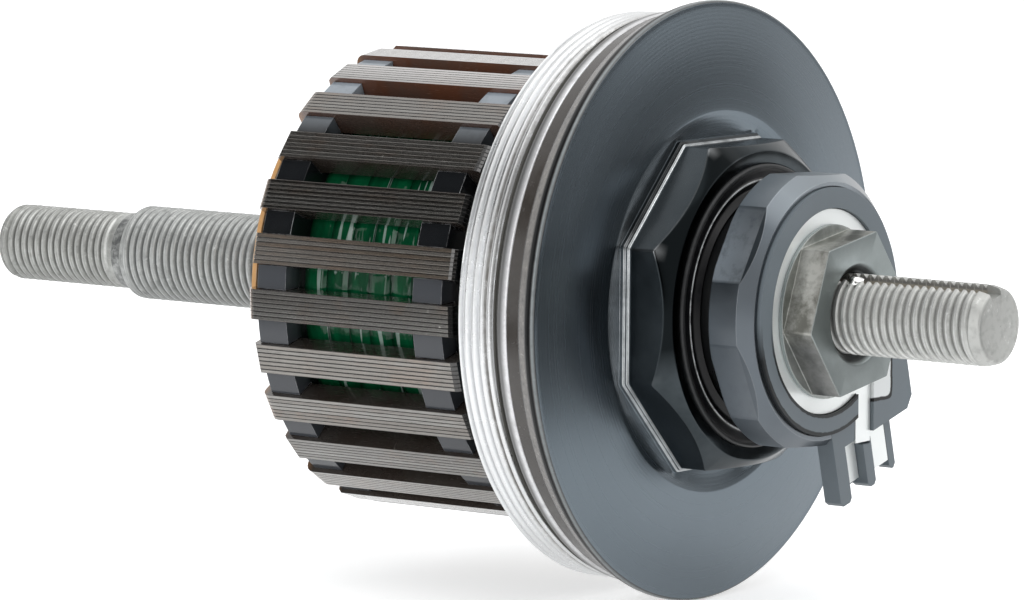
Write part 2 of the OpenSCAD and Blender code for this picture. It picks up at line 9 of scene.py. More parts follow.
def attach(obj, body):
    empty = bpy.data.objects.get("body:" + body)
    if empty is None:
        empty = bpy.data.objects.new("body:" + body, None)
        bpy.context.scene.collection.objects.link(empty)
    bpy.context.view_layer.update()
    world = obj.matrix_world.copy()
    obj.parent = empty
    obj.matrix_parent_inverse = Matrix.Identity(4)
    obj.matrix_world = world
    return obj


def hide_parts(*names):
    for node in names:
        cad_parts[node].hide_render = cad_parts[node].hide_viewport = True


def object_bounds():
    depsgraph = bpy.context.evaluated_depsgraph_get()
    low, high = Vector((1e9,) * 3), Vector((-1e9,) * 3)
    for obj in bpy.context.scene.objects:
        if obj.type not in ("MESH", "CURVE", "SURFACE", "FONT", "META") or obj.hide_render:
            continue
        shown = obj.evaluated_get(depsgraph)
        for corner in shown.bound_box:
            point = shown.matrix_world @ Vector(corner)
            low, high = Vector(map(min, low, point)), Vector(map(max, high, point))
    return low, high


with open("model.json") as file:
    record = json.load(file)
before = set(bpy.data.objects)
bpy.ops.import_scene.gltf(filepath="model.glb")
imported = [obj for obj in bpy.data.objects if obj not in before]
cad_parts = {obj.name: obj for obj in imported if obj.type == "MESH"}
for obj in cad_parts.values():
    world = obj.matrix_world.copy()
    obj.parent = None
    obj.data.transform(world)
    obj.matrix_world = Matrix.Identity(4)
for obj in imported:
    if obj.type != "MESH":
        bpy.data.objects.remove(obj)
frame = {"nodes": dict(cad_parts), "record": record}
cad_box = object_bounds()
MM = 0.001

# Sizes repeated from the part's source, in mm. Stations run along the axle towards the connector (-Y).
# AF is a width across flats. Clock angles run in degrees from the top towards -X.
AXLE_END, LEFT_STEP, THIN_START = 67.5, -50.0, 43.5
KEYWAY = (13.7, 2.0, 3.2)  # clock angle, width and floor
NUT_BORE, NUT_AF, NUT_ANGLE, NUT_BACK, NUT_FRONT = 4.45, 16.1, 8.0, 46.15, 49.7
NUT_FOOT_R, NUT_FOOT_BACK = 9.4, 45.65
RING_R, RING_START, THREAD_END, GROOVE_END, CAP_BACK = 31.0, 19.2, 23.9, 24.6, 25.8
RING_BORE, GROOVE_R, COLLAR_R = 28.8, 30.1, 31.3
SPIGOT_BORE, SPIGOT_R, SPIGOT_BACK = 26.55, 28.75, 19.8
CAP_R, CAP_RIM, CAP_FACE, CAP_BORE = 32.7, 30.3, 31.5, 11.7
DISH_R, DISH_INNER_R = 32.1, 20.79
BOSS_AF, BOSS_ANGLE, BOSS_FRONT, CONE_START = 34.9, -0.8, 37.1, 35.0
FOOT_AF, FOOT_FRONT, TROUGH_AF = 35.35, 31.85, 35.8
SEAL_R, SEAL_BACK = 15.4, 35.2
POLE_ANGLE, POLE_PITCH, STATOR_MIDDLE = 8.9, 360.0 / 26, 0.7
TAPE_R, COIL_START, COIL_END = 21.5, -8.4, 8.9

# Sizes and counts of this script alone, in mm
AXLE_R, STUB_R = 5.36, 4.36  # the crests, 0.04 inside the solid's plain cylinders
LEFT_THREAD_END, O_RING_R, TROUGH, SEAL_BORE = -19.0, 30.42, 30.97, 12.9
PITCH, AXLE_DEPTH, RING_DEPTH, ROWS_PER_PITCH = 1.0, 0.45, 0.5, 10
DOME = 0.1  # how far the axle's ends bulge
TAPE_TURNS, TAPE_ROWS = 6, 60
PLATE = 0.49  # pitch of the plates in a pole
BURR_ANGLE, BURR_R, BURR_STATION = 26.0, 4.15, 50.45

CAP_TONE = (0.134, 0.16, 0.181)
NUT_TONE = (0.092, 0.107, 0.122)
AXLE_TONE = (0.42, 0.43, 0.42)
STUB_TONE = (0.42, 0.425, 0.405)


# Camera at the photograph's viewing angle
camera_data = bpy.data.cameras.new("camera")
camera_data.lens = 233.6
camera_data.sensor_width = 36.0
camera_data.clip_start = 0.01
camera_data.clip_end = 50.0
camera = bpy.data.objects.new("camera", camera_data)
eye = Vector((-0.5924, -0.4337, 0.0889))
forward = Vector((0.80325, 0.5828, -0.1230)).normalized()
right = Vector((0.58725, -0.8094, 0.0)).normalized()
up = right.cross(forward).normalized()
camera.matrix_world = Matrix.Translation(eye) @ Matrix((right, up, -forward)).transposed().to_4x4()
bpy.context.scene.collection.objects.link(camera)
bpy.context.scene.camera = camera
bpy.context.scene.view_settings.view_transform = "Standard"


# Mesh helpers

def share(value):
    """A value held between 0 and 1."""
    return min(1.0, max(0.0, value))


def clock(count):
    """Clock angles all the way round, evenly spaced."""
    return [i * 360.0 / count for i in range(count)]


def place(angle, r, s):
    """A point at a clock angle in degrees, a radius and a station in mm."""
    a = math.radians(angle)
    return (-r * math.sin(a) * MM, -s * MM, r * math.cos(a) * MM)


def middle(face):
    """The radius and the station of a face's middle in mm."""
    return math.hypot(face.center.x, face.center.z) / MM, -face.center.y / MM


def build(name, body, slot, points, faces, sharp=32.0, merge=1e-7):
    """A mesh piece that rides on a body, smooth but for edges sharper than an angle."""
    mesh = bpy.data.meshes.new(name)
    mesh.from_pydata(points, [], faces)
    bm = bmesh.new()
    bm.from_mesh(mesh)
    bmesh.ops.remove_doubles(bm, verts=bm.verts, dist=merge)
    bmesh.ops.dissolve_degenerate(bm, edges=bm.edges, dist=1e-8)
    bmesh.ops.recalc_face_normals(bm, faces=bm.faces)
    bm.to_mesh(mesh)
    bm.free()
    mesh.polygons.foreach_set("use_smooth", [True] * len(mesh.polygons))
    mesh.set_sharp_from_angle(angle=math.radians(sharp))
    mesh.update()
    piece = bpy.data.objects.new(name, mesh)
    bpy.context.scene.collection.objects.link(piece)
    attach(piece, body)
    return piece


def soft(points, steps=4):
    """Rounds the corners of a profile; a point is (r, s) or (r, s, rounding)."""
    out = []
    for i, point in enumerate(points):
        if len(point) == 2:
            out.append(point)
            continue
        before, after = points[i - 1], points[(i + 1) % len(points)]
        corner = Vector(point[:2])
        back = Vector((before[0] - point[0], before[1] - point[1]))
        ahead = Vector((after[0] - point[0], after[1] - point[1]))
        size = min(point[2], 0.45 * back.length, 0.45 * ahead.length)
        a = corner + back.normalized() * size
        b = corner + ahead.normalized() * size
        for k in range(steps + 1):
            t = k / steps
            q = a * (1 - t) ** 2 + corner * 2 * t * (1 - t) + b * t * t
            out.append((q.x, q.y))
    return out


def turned(name, body, slot, profile, angles=None, closed=True, sharp=32.0):
    """A turned piece. profile is a list of (r, s), or gives the list for a clock angle."""
    angles = angles or clock(256)
    rows = [profile(a) if callable(profile) else profile for a in angles]
    count = len(rows[0])
    points = [place(a, r, s) for a, row in zip(angles, rows) for r, s in row]
    faces = []
    for j in range(len(angles)):
        k = (j + 1) % len(angles)
        for i in range(count if closed else count - 1):
            m = (i + 1) % count
            faces.append((j * count + i, j * count + m, k * count + m, k * count + i))
    return build(name, body, slot, points, faces, sharp)


def thread_height(t):
    """Height of a thread over its root, 0 to 1, across one pitch."""
    v = abs(2.0 * (t % 1.0) - 1.0)
    return share((v - 0.08) / 0.6) ** 0.75


def threaded(name, body, slot, s0, s1, crest, depth, phase, fade, limit, key=None, closed=(), columns=72):
    """A threaded length from s0 to s1. Its rows follow the helix, so that the crests stay clean.
    fade is the thread's share of full depth at a station, limit the outline's radius there, key the
    angle, width and floor of a keyway, and closed the ends that get a domed face."""
    side0 = s0 + (DOME if "low" in closed else 0.0)
    side1 = s1 - (DOME if "high" in closed else 0.0)
    cross = [(angle, None) for angle in clock(columns)]
    if key:
        angle, width, floor = key
        half = width / 2
        reach = math.degrees(math.asin(half / (crest - depth))) + 1.0
        cross = [c for c in cross if abs((c[0] - angle + 180) % 360 - 180) > reach]
        for x, y in ((half, None), (half, floor), (0.0, floor), (-half, floor), (-half, None)):
            cross.append((angle + math.degrees(math.atan2(-x, crest if y is None else crest + 1)), (x, y)))
        cross.sort(key=lambda c: c[0])
    cross.append((cross[0][0] + 360.0, cross[0][1]))
    n = len(cross)
    rows = int(math.ceil((s1 - s0) / PITCH * ROWS_PER_PITCH)) + ROWS_PER_PITCH + 1

    def point(nominal, keyed, s, r, shrink=1.0):
        """A point of the thread at a clock angle, or of the keyway at its own x and y."""
        if keyed is None:
            return place(nominal, r * shrink, s)
        x, y = keyed
        y = math.sqrt(max(r * r - x * x, 0.01)) if y is None else min(y, r - 0.02)
        x, y = x * shrink, y * shrink
        c = math.radians(key[0])
        return ((x * math.cos(c) - y * math.sin(c)) * MM, -s * MM, (x * math.sin(c) + y * math.cos(c)) * MM)

    points, faces = [], []
    if "low" in closed:
        for shrink in (0.01, 0.35, 0.7, 0.93):
            points += [point(a, k, s0 + DOME * shrink * shrink, limit(side0), shrink) for a, k in cross]
    for i in range(-ROWS_PER_PITCH - 1, rows):
        for nominal, keyed in cross:
            free = s0 + i * PITCH / ROWS_PER_PITCH + PITCH * nominal / 360.0
            s = min(max(free, side0), side1)
            high = thread_height((free - s0) / PITCH - nominal / 360.0 + phase)
            r = min(crest - depth * (1.0 - high) * fade(s), limit(s))
            points.append(point(nominal, keyed, s, r))
    if "high" in closed:
        for shrink in (0.93, 0.7, 0.35, 0.01):
            points += [point(a, k, s1 - DOME * shrink * shrink, limit(side1), shrink) for a, k in cross]
    for i in range(len(points) // n - 1):
        for j in range(n - 1):
            faces.append((i * n + j, i * n + j + 1, (i + 1) * n + j + 1, (i + 1) * n + j))
    return build(name, body, slot, points, faces, sharp=40.0, merge=2e-6)


def polygon(angle, af, sides, first, corner=0.7):
    """Radius at a clock angle of a regular prism with one flat at the angle first; corner rounds it,
    in degrees."""
    half = 180.0 / sides
    off = abs((angle - first + half) % (2 * half) - half)
    near = half - off
    if near < corner:
        off = half - (near * near / (2 * corner) + corner / 2)
    return af / 2 / math.cos(math.radians(off))


def fan(sides, first, steps):
    """Clock angles for a prism's columns, close together at its corners."""
    half = 180.0 / sides
    out = []
    for k in range(sides):
        corner = first + half + k * 2 * half
        out += [corner + d for d in steps] + [corner + half]
        out += [corner + 2 * half - d for d in reversed(steps[1:])]
    return out


# Materials

def scaled(color, by):
    """A darker or lighter colour."""
    return [c * by for c in color]


def material(name, color, metallic=0.0, rough=0.4, **extra):
    """A node material with its Principled shader, ready for more; extra names other sockets."""
    m = bpy.data.materials.new(name)
    m.use_nodes = True
    shader = m.node_tree.nodes["Principled BSDF"]
    shader.inputs["Base Color"].default_value = (*color, 1.0)
    shader.inputs["Metallic"].default_value = metallic
    shader.inputs["Roughness"].default_value = rough
    for key, value in extra.items():
        shader.inputs[key.replace("_", " ")].default_value = value
    m.diffuse_color = (*color, 1.0)
    return m


class Nodes:
    """Short names for the nodes of one material, or of the world."""

    def __init__(self, owner):
        self.tree = owner.node_tree
        self.shader = self.tree.nodes.get("Principled BSDF")

    def add(self, kind, **settings):
        node = self.tree.nodes.new(kind)
        for key, value in settings.items():
            setattr(node, key, value)
        return node

    def join(self, a, b):
        self.tree.links.new(a, b)

    def put(self, socket, value):
        """Links a socket to an output, or gives it a number."""
        if hasattr(value, "is_output"):
            self.join(value, socket)
        else:
            socket.default_value = value

    def math(self, op, a, b=0.0, c=0.0):
        node = self.add("ShaderNodeMath", operation=op)
        for socket, value in zip(node.inputs, (a, b, c)):
            self.put(socket, value)
        return node.outputs[0]

    def times(self, product, *factors):
        """The product of all the values."""
        for factor in factors:
            product = self.math("MULTIPLY", product, factor)
        return product

    def inverse(self, mask):
        """A mask of all that another one leaves."""
        return self.math("SUBTRACT", 1.0, mask)

    def away(self, value, centre=0.0):
        """How far a value is from a centre, either way."""
        return self.math("ABSOLUTE", self.math("SUBTRACT", value, centre) if centre else value)

    def coords(self):
        """Object coordinates in metres."""
        return self.add("ShaderNodeTexCoord").outputs["Object"]

    def axes(self, vector=None):
        node = self.add("ShaderNodeSeparateXYZ")
        self.join(vector or self.coords(), node.inputs[0])
        return node.outputs["X"], node.outputs["Y"], node.outputs["Z"]

    def vector(self, x, y, z):
        node = self.add("ShaderNodeCombineXYZ")
        for socket, value in zip(node.inputs, (x, y, z)):
            self.put(socket, value)
        return node.outputs[0]

    def polar(self):
        """Radius and station in mm, and the clock angle in degrees."""
        x, y, z = self.axes()
        r = self.math("SQRT", self.math("ADD", self.times(x, x), self.times(z, z)))
        angle = self.math("ARCTAN2", self.times(x, -1.0), z)
        return self.times(r, 1000.0), self.times(y, -1000.0), self.times(angle, 180.0 / math.pi)

    def noise(self, scale, detail=3.0, rough=0.5, vector=None, distortion=0.0):
        node = self.add("ShaderNodeTexNoise")
        node.inputs["Scale"].default_value = scale
        node.inputs["Detail"].default_value = detail
        node.inputs["Roughness"].default_value = rough
        node.inputs["Distortion"].default_value = distortion
        self.join(vector or self.coords(), node.inputs["Vector"])
        return node.outputs["Fac"]

    def ramp(self, value, low, high, to_low=0.0, to_high=1.0):
        """Goes from to_low to to_high while a value goes from low to high, and stays there."""
        node = self.add("ShaderNodeMapRange")
        self.join(value, node.inputs["Value"])
        for key, v in (("From Min", low), ("From Max", high), ("To Min", to_low), ("To Max", to_high)):
            node.inputs[key].default_value = v
        return node.outputs["Result"]

    def band(self, value, low, full, full_end, end):
        """A mask that rises from low to full and falls from full_end to end."""
        return self.times(self.ramp(value, low, full), self.ramp(value, end, full_end))

    def mix(self, factor, a, b):
        """Goes from one colour to another. The node's colours are its sockets 6 and 7 and its output 2."""
        node = self.add("ShaderNodeMix", data_type="RGBA")
        self.put(node.inputs["Factor"], factor)
        for key, value in ((6, a), (7, b)):
            self.put(node.inputs[key], value if hasattr(value, "is_output") else (*value, 1.0))
        return node.outputs[2]

    def edge(self, radius, low=0.02, high=0.3):
        """The normal rounded over a radius in mm, and a mask of the edges."""
        bevel = self.add("ShaderNodeBevel", samples=6)
        bevel.inputs["Radius"].default_value = radius * MM
        geometry = self.add("ShaderNodeNewGeometry")
        dot = self.add("ShaderNodeVectorMath", operation="DOT_PRODUCT")
        self.join(bevel.outputs[0], dot.inputs[0])
        self.join(geometry.outputs["Normal"], dot.inputs[1])
        return bevel.outputs[0], self.ramp(self.inverse(dot.outputs["Value"]), low, high)

    def bump(self, height, strength, distance, normal=None):
        """Bumps up to a distance in mm, over a rounded normal where one is given."""
        node = self.add("ShaderNodeBump")
        node.inputs["Strength"].default_value = strength
        node.inputs["Distance"].default_value = distance * MM
        self.join(height, node.inputs["Height"])
        if normal is not None:
            self.join(normal, node.inputs["Normal"])
        self.join(node.outputs[0], self.shader.inputs["Normal"])

    def color(self, value):
        self.join(value, self.shader.inputs["Base Color"])

    def tone(self):
        """The colour that the shader has so far."""
        return self.shader.inputs["Base Color"].links[0].from_socket

    def rough(self, value):
        self.join(value, self.shader.inputs["Roughness"])

    def rays(self, first, *others):
        """1 for the kinds of ray that are named, 0 for the rest."""
        path = self.add("ShaderNodeLightPath")
        mask = path.outputs[first]
        for kind in others:
            mask = self.math("MAXIMUM", mask, path.outputs[kind])
        return mask

    def show(self, output, mask, plain, special):
        """Sends an output node one shader, and another where a mask is 1."""
        mixer = self.add("ShaderNodeMixShader")
        for socket, value in zip(mixer.inputs, (mask, plain, special)):
            self.join(value, socket)
        self.join(mixer.outputs[0], self.tree.nodes[output].inputs[0])


def steel_thread(name, color, root, crest, dark):
    """Rolled thread in worn steel: dull dark roots, nicked crest edges, scuffs and fine grit, with a painted
    highlight along the crests and painted shade below on the left.
    """
    m = material(name, color, 0.75, 0.46)
    n = Nodes(m)
    r, s, angle = n.polar()
    grain = n.noise(1100.0, 4.0, 0.6)
    cloud = n.noise(170.0, 3.0, 0.6)
    # the roots are dark and the keyway is a warm grey, but not at the axle's ends
    tip = n.ramp(n.away(s), AXLE_END - 1.9, AXLE_END - 1.6)
    deep = n.math("MAXIMUM", n.ramp(r, root, crest), tip)
    worn = n.mix(deep, dark, color)
    slotted = n.times(n.ramp(r, crest - 0.45, crest - 0.6), n.ramp(s, THIN_START, THIN_START + 1.0))
    worn = n.mix(n.times(slotted, n.inverse(tip)), worn, (0.45, 0.4, 0.33))
    worn = n.mix(n.ramp(cloud, 0.35, 0.7, 0.0, 0.35), worn, scaled(color, 0.72))
    worn = n.mix(n.times(n.ramp(grain, 0.5, 0.75), 0.7), worn, scaled(color, 0.55))
    # bright nicks, and crest edges painted bright, partly rubbed metal and partly a painted highlight
    rim = n.times(n.band(r, crest - 0.04, crest, crest + 0.08, crest + 0.12), n.inverse(tip), 0.7)
    rim = n.times(rim, n.ramp(n.noise(420.0, 5.0, 0.7), 0.42, 0.6))
    nick = n.times(n.ramp(n.noise(700.0, 5.0, 0.75, distortion=0.2), 0.6, 0.7), deep)
    worn = n.mix(n.times(n.math("MAXIMUM", nick, rim), 0.7), worn, (0.8, 0.81, 0.79))
    # the run-out by the step, scuffed bare
    bare = n.band(s, LEFT_STEP - 1.8, LEFT_STEP - 0.5, LEFT_STEP + 1.6, LEFT_STEP + 2.2)
    scuff_and_highlight = n.ramp(n.noise(800.0, 5.0, 0.7), 0.4, 0.65, 0.0, 0.6)
    worn = n.mix(n.times(bare, scuff_and_highlight), worn, (0.7, 0.71, 0.69))
    # a bright line along the crest, partly rubbed metal and partly a painted highlight, which lies 0.15 of a
    # pitch on at the connector end and 0.4 at the other
    phase = n.ramp(s, -1.0, 1.0, 0.4, 0.15)
    helix = n.math("SUBTRACT", n.math("SUBTRACT", s, n.math("DIVIDE", angle, 360.0)), phase)
    off_root = n.away(n.math("FRACT", helix), 0.5)
    line = n.times(n.ramp(off_root, 0.41, 0.46), n.ramp(n.noise(330.0, 4.0, 0.7), 0.38, 0.6, 0.2, 1.0))
    line = n.times(line, n.inverse(n.math("MAXIMUM", tip, bare)))
    worn = n.mix(n.times(line, 0.5), worn, (0.85, 0.86, 0.85))
    # painted shade below on the left, and paler at the connector end
    shade_below = n.times(n.ramp(n.away(angle), 95.0, 140.0, 0.0, 0.5), n.ramp(s, 0.0, -5.0))
    worn = n.mix(shade_below, worn, scaled(color, 0.4))
    n.color(n.mix(n.ramp(s, 30.0, 40.0, 0.0, 0.22), worn, (0.8, 0.8, 0.78)))
    n.rough(n.ramp(grain, 0.3, 0.75, 0.42, 0.58))
    normal, _ = n.edge(0.08)
    n.bump(n.math("ADD", grain, n.times(cloud, 0.5)), 0.6, 0.04, normal)
    return m


def satin(name, color, metallic, rough, edge_color, edge=0.15, wear_and_highlight=0.5, grain=0.3, spread=0.1, **extra):
    """A satin finish with fine grain and softened edges, lighter along them, partly worn and partly a painted
    highlight.
    """
    m = material(name, color, metallic, rough, **extra)
    n = Nodes(m)
    fine = n.noise(1400.0, 4.0, 0.6)
    cloud = n.noise(120.0, 3.0, 0.55)
    normal, edges = n.edge(edge)
    scuff_and_highlight = n.ramp(n.noise(420.0, 5.0, 0.65), 0.42, 0.68)
    tone = n.mix(n.times(cloud, 0.5), color, [min(1.0, c * 1.5 + 0.004) for c in color])
    # edges lightened, partly worn and partly a painted highlight
    n.color(n.mix(n.times(edges, scuff_and_highlight, wear_and_highlight), tone, edge_color))
    n.rough(n.ramp(cloud, 0.3, 0.7, rough - spread, rough + spread))
    n.bump(fine, grain, 0.01, normal)
    return m


def lamination():
    """Varnished plates: brownish steel edges, fine lines along the bar, nicks and bare spots, with a pale
    painted reflection on the bars that face up, a warm painted highlight at the left tips and painted shade on
    the ends that face the connector.
    """
    m = material("laminated_steel", (0.2, 0.19, 0.175), 1.0, 0.3, Coat_Weight=1.0, Coat_Roughness=0.1)
    n = Nodes(m)
    r, s, angle = n.polar()
    # which pole, how far across it in mm, and which plate
    turns = n.math("DIVIDE", n.math("SUBTRACT", angle, POLE_ANGLE), POLE_PITCH)
    index = n.math("ROUND", turns)
    across = n.math("SUBTRACT", turns, index)
    side = n.times(n.math("SINE", n.times(across, math.radians(POLE_PITCH))), r)
    plate = n.math("ADD", n.math("DIVIDE", side, PLATE), 0.5)
    plate_id = n.math("FLOOR", plate)
    seam = n.ramp(n.away(n.math("FRACT", plate), 0.5), 0.3, 0.5)
    tint = n.noise(1.0, 0.0, 0.5, n.vector(n.times(plate_id, 3.7), n.times(index, 5.3), 0.0))
    each = n.noise(1.0, 0.0, 0.5, n.vector(n.times(index, 7.7), 4.0, 1.0))
    long_grain = n.noise(1.0, 4.0, 0.7, n.vector(n.times(side, 9.0), n.times(s, 0.4), n.times(r, 6.0)))
    patch = n.noise(150.0, 4.0, 0.65)
    brown = n.mix(n.ramp(each, 0.35, 0.65), (0.205, 0.2, 0.19), (0.19, 0.15, 0.115))
    brown = n.mix(n.ramp(patch, 0.5, 0.72, 0.0, 0.6), brown, (0.25, 0.15, 0.09))
    tone = n.mix(n.ramp(tint, 0.3, 0.7, 0.0, 0.7), brown, (0.31, 0.305, 0.29))
    tone = n.mix(n.ramp(long_grain, 0.4, 0.8, 0.0, 0.65), tone, (0.07, 0.062, 0.055))
    tone = n.mix(n.times(seam, 0.85), tone, (0.02, 0.018, 0.015))
    nick = n.ramp(n.noise(520.0, 5.0, 0.75, distortion=1.5), 0.66, 0.74)
    tone = n.mix(n.times(nick, 0.7), tone, (0.6, 0.58, 0.54))
    # the bar's flanks, redder near the top, and a pale painted reflection of the sky on the bars that face up
    flank = n.ramp(n.away(side), 1.6, 1.66)
    lean = n.away(angle)
    flank_tone = n.mix(n.ramp(lean, 34.0, 46.0), (0.17, 0.07, 0.04), (0.05, 0.037, 0.03))
    tone = n.mix(n.times(flank, n.ramp(patch, 0.35, 0.6, 0.5, 1.0)), tone, flank_tone)
    n.join(n.inverse(n.times(flank, 0.7)), n.shader.inputs["Metallic"])
    sky_sheen = n.times(n.ramp(lean, 32.0, 20.0, 0.0, 0.68), n.inverse(flank))
    tone = n.mix(sky_sheen, tone, (0.7, 0.68, 0.67))
    # a warm painted highlight in amber at the left tips, and painted shade that blackens the ends that face the
    # connector
    tip = n.ramp(n.away(s, STATOR_MIDDLE), 13.2, 14.1)
    left = n.math("LESS_THAN", s, STATOR_MIDDLE)
    tone = n.mix(n.times(tip, left, 0.55), tone, (0.42, 0.22, 0.1))
    _, facing, _ = n.axes(n.add("ShaderNodeNewGeometry").outputs["Normal"])
    n.color(n.mix(n.times(n.ramp(facing, -0.03, -0.1), 0.9), tone, (0.03, 0.03, 0.03)))
    n.rough(n.ramp(long_grain, 0.3, 0.7, 0.16, 0.3))
    normal, _ = n.edge(0.06)
    n.bump(n.math("SUBTRACT", n.times(long_grain, 0.25), seam), 0.8, 0.05, normal)
    return m


def tape():
    """Glossy green tape in overlapping turns, with white highlights painted on in streaks."""
    m = material("coil_tape", (0.003, 0.12, 0.042), 0.0, 0.07, Specular_IOR_Level=0.4)
    n = Nodes(m)
    _, s, angle = n.polar()
    turns = n.math("DIVIDE", n.math("SUBTRACT", s, COIL_START), (COIL_END - COIL_START) / TAPE_TURNS)
    lap = n.ramp(n.math("FRACT", turns), 0.0, 0.3)
    fold = n.noise(1.0, 3.0, 0.55, n.vector(n.times(s, 0.5), n.times(angle, 0.06), 0.0))
    green = n.mix(n.ramp(fold, 0.35, 0.7), (0.002, 0.07, 0.026), (0.004, 0.155, 0.055))
    # white streaks painted on the tape as highlights
    tape_glint = n.noise(1.0, 0.0, 0.5, n.vector(n.times(s, 1.5), n.times(angle, 0.045), 9.0))
    green = n.mix(n.times(n.ramp(tape_glint, 0.66, 0.68), 0.7), green, (0.6, 0.75, 0.68))
    n.color(n.mix(lap, (0.001, 0.03, 0.012), green))
    n.rough(n.ramp(fold, 0.3, 0.7, 0.05, 0.1))
    ripple = n.noise(1.0, 2.0, 0.5, n.vector(n.times(s, 0.8), n.times(angle, 0.05), 3.0))
    n.bump(ripple, 0.6, 0.3)
    return m


def machined(name, color, rough, rings=14.0, strength=0.25):
    """A turned surface: fine rings round the axle, broken up by grain."""
    m = material(name, color, 1.0, rough)
    n = Nodes(m)
    r, s, _ = n.polar()
    ring = n.noise(1.0, 3.0, 0.7, n.vector(n.times(r, rings), n.times(s, rings), 0.0))
    spots = n.noise(700.0, 5.0, 0.7)
    n.color(n.mix(n.ramp(spots, 0.55, 0.8), color, scaled(color, 0.75)))
    n.rough(n.ramp(ring, 0.3, 0.7, rough - 0.07, rough + 0.09))
    normal, _ = n.edge(0.1)
    n.bump(n.math("ADD", ring, n.times(spots, 0.4)), strength, 0.02, normal)
    return m


def black_cap():
    """Black anodised turning: fine lathe rings and a cool sheen, with painted shade on one side of the boss."""
    m = material("black_anodised", CAP_TONE, 1.0, 0.25)
    n = Nodes(m)
    r, _, angle = n.polar()
    ring = n.noise(1.0, 2.0, 0.6, n.vector(n.times(r, 6.0), 0.0, 0.0))
    lathe = n.math("SINE", n.times(r, 2 * math.pi / 0.42))
    cloud = n.noise(55.0, 3.0, 0.6)
    fine = n.noise(2200.0, 2.0, 0.5)
    tone = n.mix(n.ramp(cloud, 0.35, 0.65, 0.0, 0.2), CAP_TONE, scaled(CAP_TONE, 0.8))
    # painted shade on the disc on one side of the boss
    beside = n.times(n.band(angle, 5.0, 45.0, 95.0, 125.0), n.ramp(r, 29.0, 20.5, 0.0, 0.5))
    n.color(n.mix(beside, tone, scaled(CAP_TONE, 0.2)))
    n.rough(n.ramp(ring, 0.3, 0.7, 0.22, 0.29))
    height = n.math("ADD", n.times(ring, 0.6), n.times(lathe, 0.35))
    n.bump(n.math("ADD", height, n.times(fine, 0.05)), 0.09, 0.02)
    return m


def cap_boss():
    """The milled boss: glossier and blacker, with bright edges painted as highlights, a flat painted lighter,
    painted shade on its cone and painted glints at its corners.
    """
    m = material("cap_boss", (0.04, 0.047, 0.052), 1.0, 0.19)
    n = Nodes(m)
    r, s, angle = n.polar()
    cloud = n.noise(140.0, 4.0, 0.6)
    fine = n.noise(1800.0, 3.0, 0.6)
    tone = n.mix(n.ramp(cloud, 0.42, 0.75, 0.0, 0.5), (0.034, 0.041, 0.045), (0.1, 0.115, 0.125))
    # the cone with the front face, the foot outside the flats, and the flat that looks up and forward
    cone = n.ramp(n.math("ADD", r, s), CONE_START + 18.7, CONE_START + 18.86)
    cone = n.math("MAXIMUM", cone, n.ramp(s, BOSS_FRONT - 0.15, BOSS_FRONT - 0.05))
    foot = n.ramp(s, FOOT_FRONT - 0.01, FOOT_FRONT - 0.09)
    high = n.band(angle, 12.0, 20.0, 66.0, 67.5)
    # the flat that looks up and forward painted lighter, as a painted highlight
    tone = n.mix(n.times(high, n.ramp(s, 36.5, 32.2, 0.55, 1.0)), tone, (0.17, 0.18, 0.185))
    # painted shade on the cone on the upper left, and on the foot below the lighter flat
    shade = n.times(cone, n.band(angle, 5.0, 20.0, 100.0, 112.0))
    tone = n.mix(n.math("MAXIMUM", shade, n.times(foot, high)), tone, (0.008, 0.01, 0.011))
    # a painted glint on the cone at each corner of the octagon
    across = n.math("MODULO", n.math("ADD", angle, 360.0 - BOSS_ANGLE), 45.0)
    corner = n.ramp(n.away(across, 22.5), 3.4, 0.4)
    glint = n.times(corner, n.ramp(r, 17.8, 18.7), shade, 0.3)
    tone = n.mix(glint, tone, (0.5, 0.52, 0.53))
    # painted highlights on the edges and the foot's lips, least at the top, and on the foot's front corner
    normal, edges = n.edge(0.13, 0.02, 0.22)
    scuff_and_highlight = n.ramp(n.noise(420.0, 5.0, 0.65), 0.3, 0.6, 0.45, 1.0)
    lips = n.times(n.ramp(r, 17.2, 17.5), n.ramp(s, FOOT_FRONT + 0.1, FOOT_FRONT - 0.05), 0.8)
    edges = n.times(n.math("MAXIMUM", edges, lips), n.ramp(angle, 60.0, 72.0, 0.12, 1.0))
    rubbed = n.band(s, FOOT_FRONT - 0.08, FOOT_FRONT - 0.01, FOOT_FRONT + 0.17, FOOT_FRONT + 0.3)
    edges = n.math("MAXIMUM", edges, n.times(rubbed, n.ramp(angle, 125.0, 100.0)))
    n.color(n.mix(n.times(edges, scuff_and_highlight, 0.8), tone, (0.75, 0.77, 0.78)))
    n.rough(n.ramp(cloud, 0.3, 0.7, 0.15, 0.25))
    n.bump(fine, 0.1, 0.01, normal)
    return m


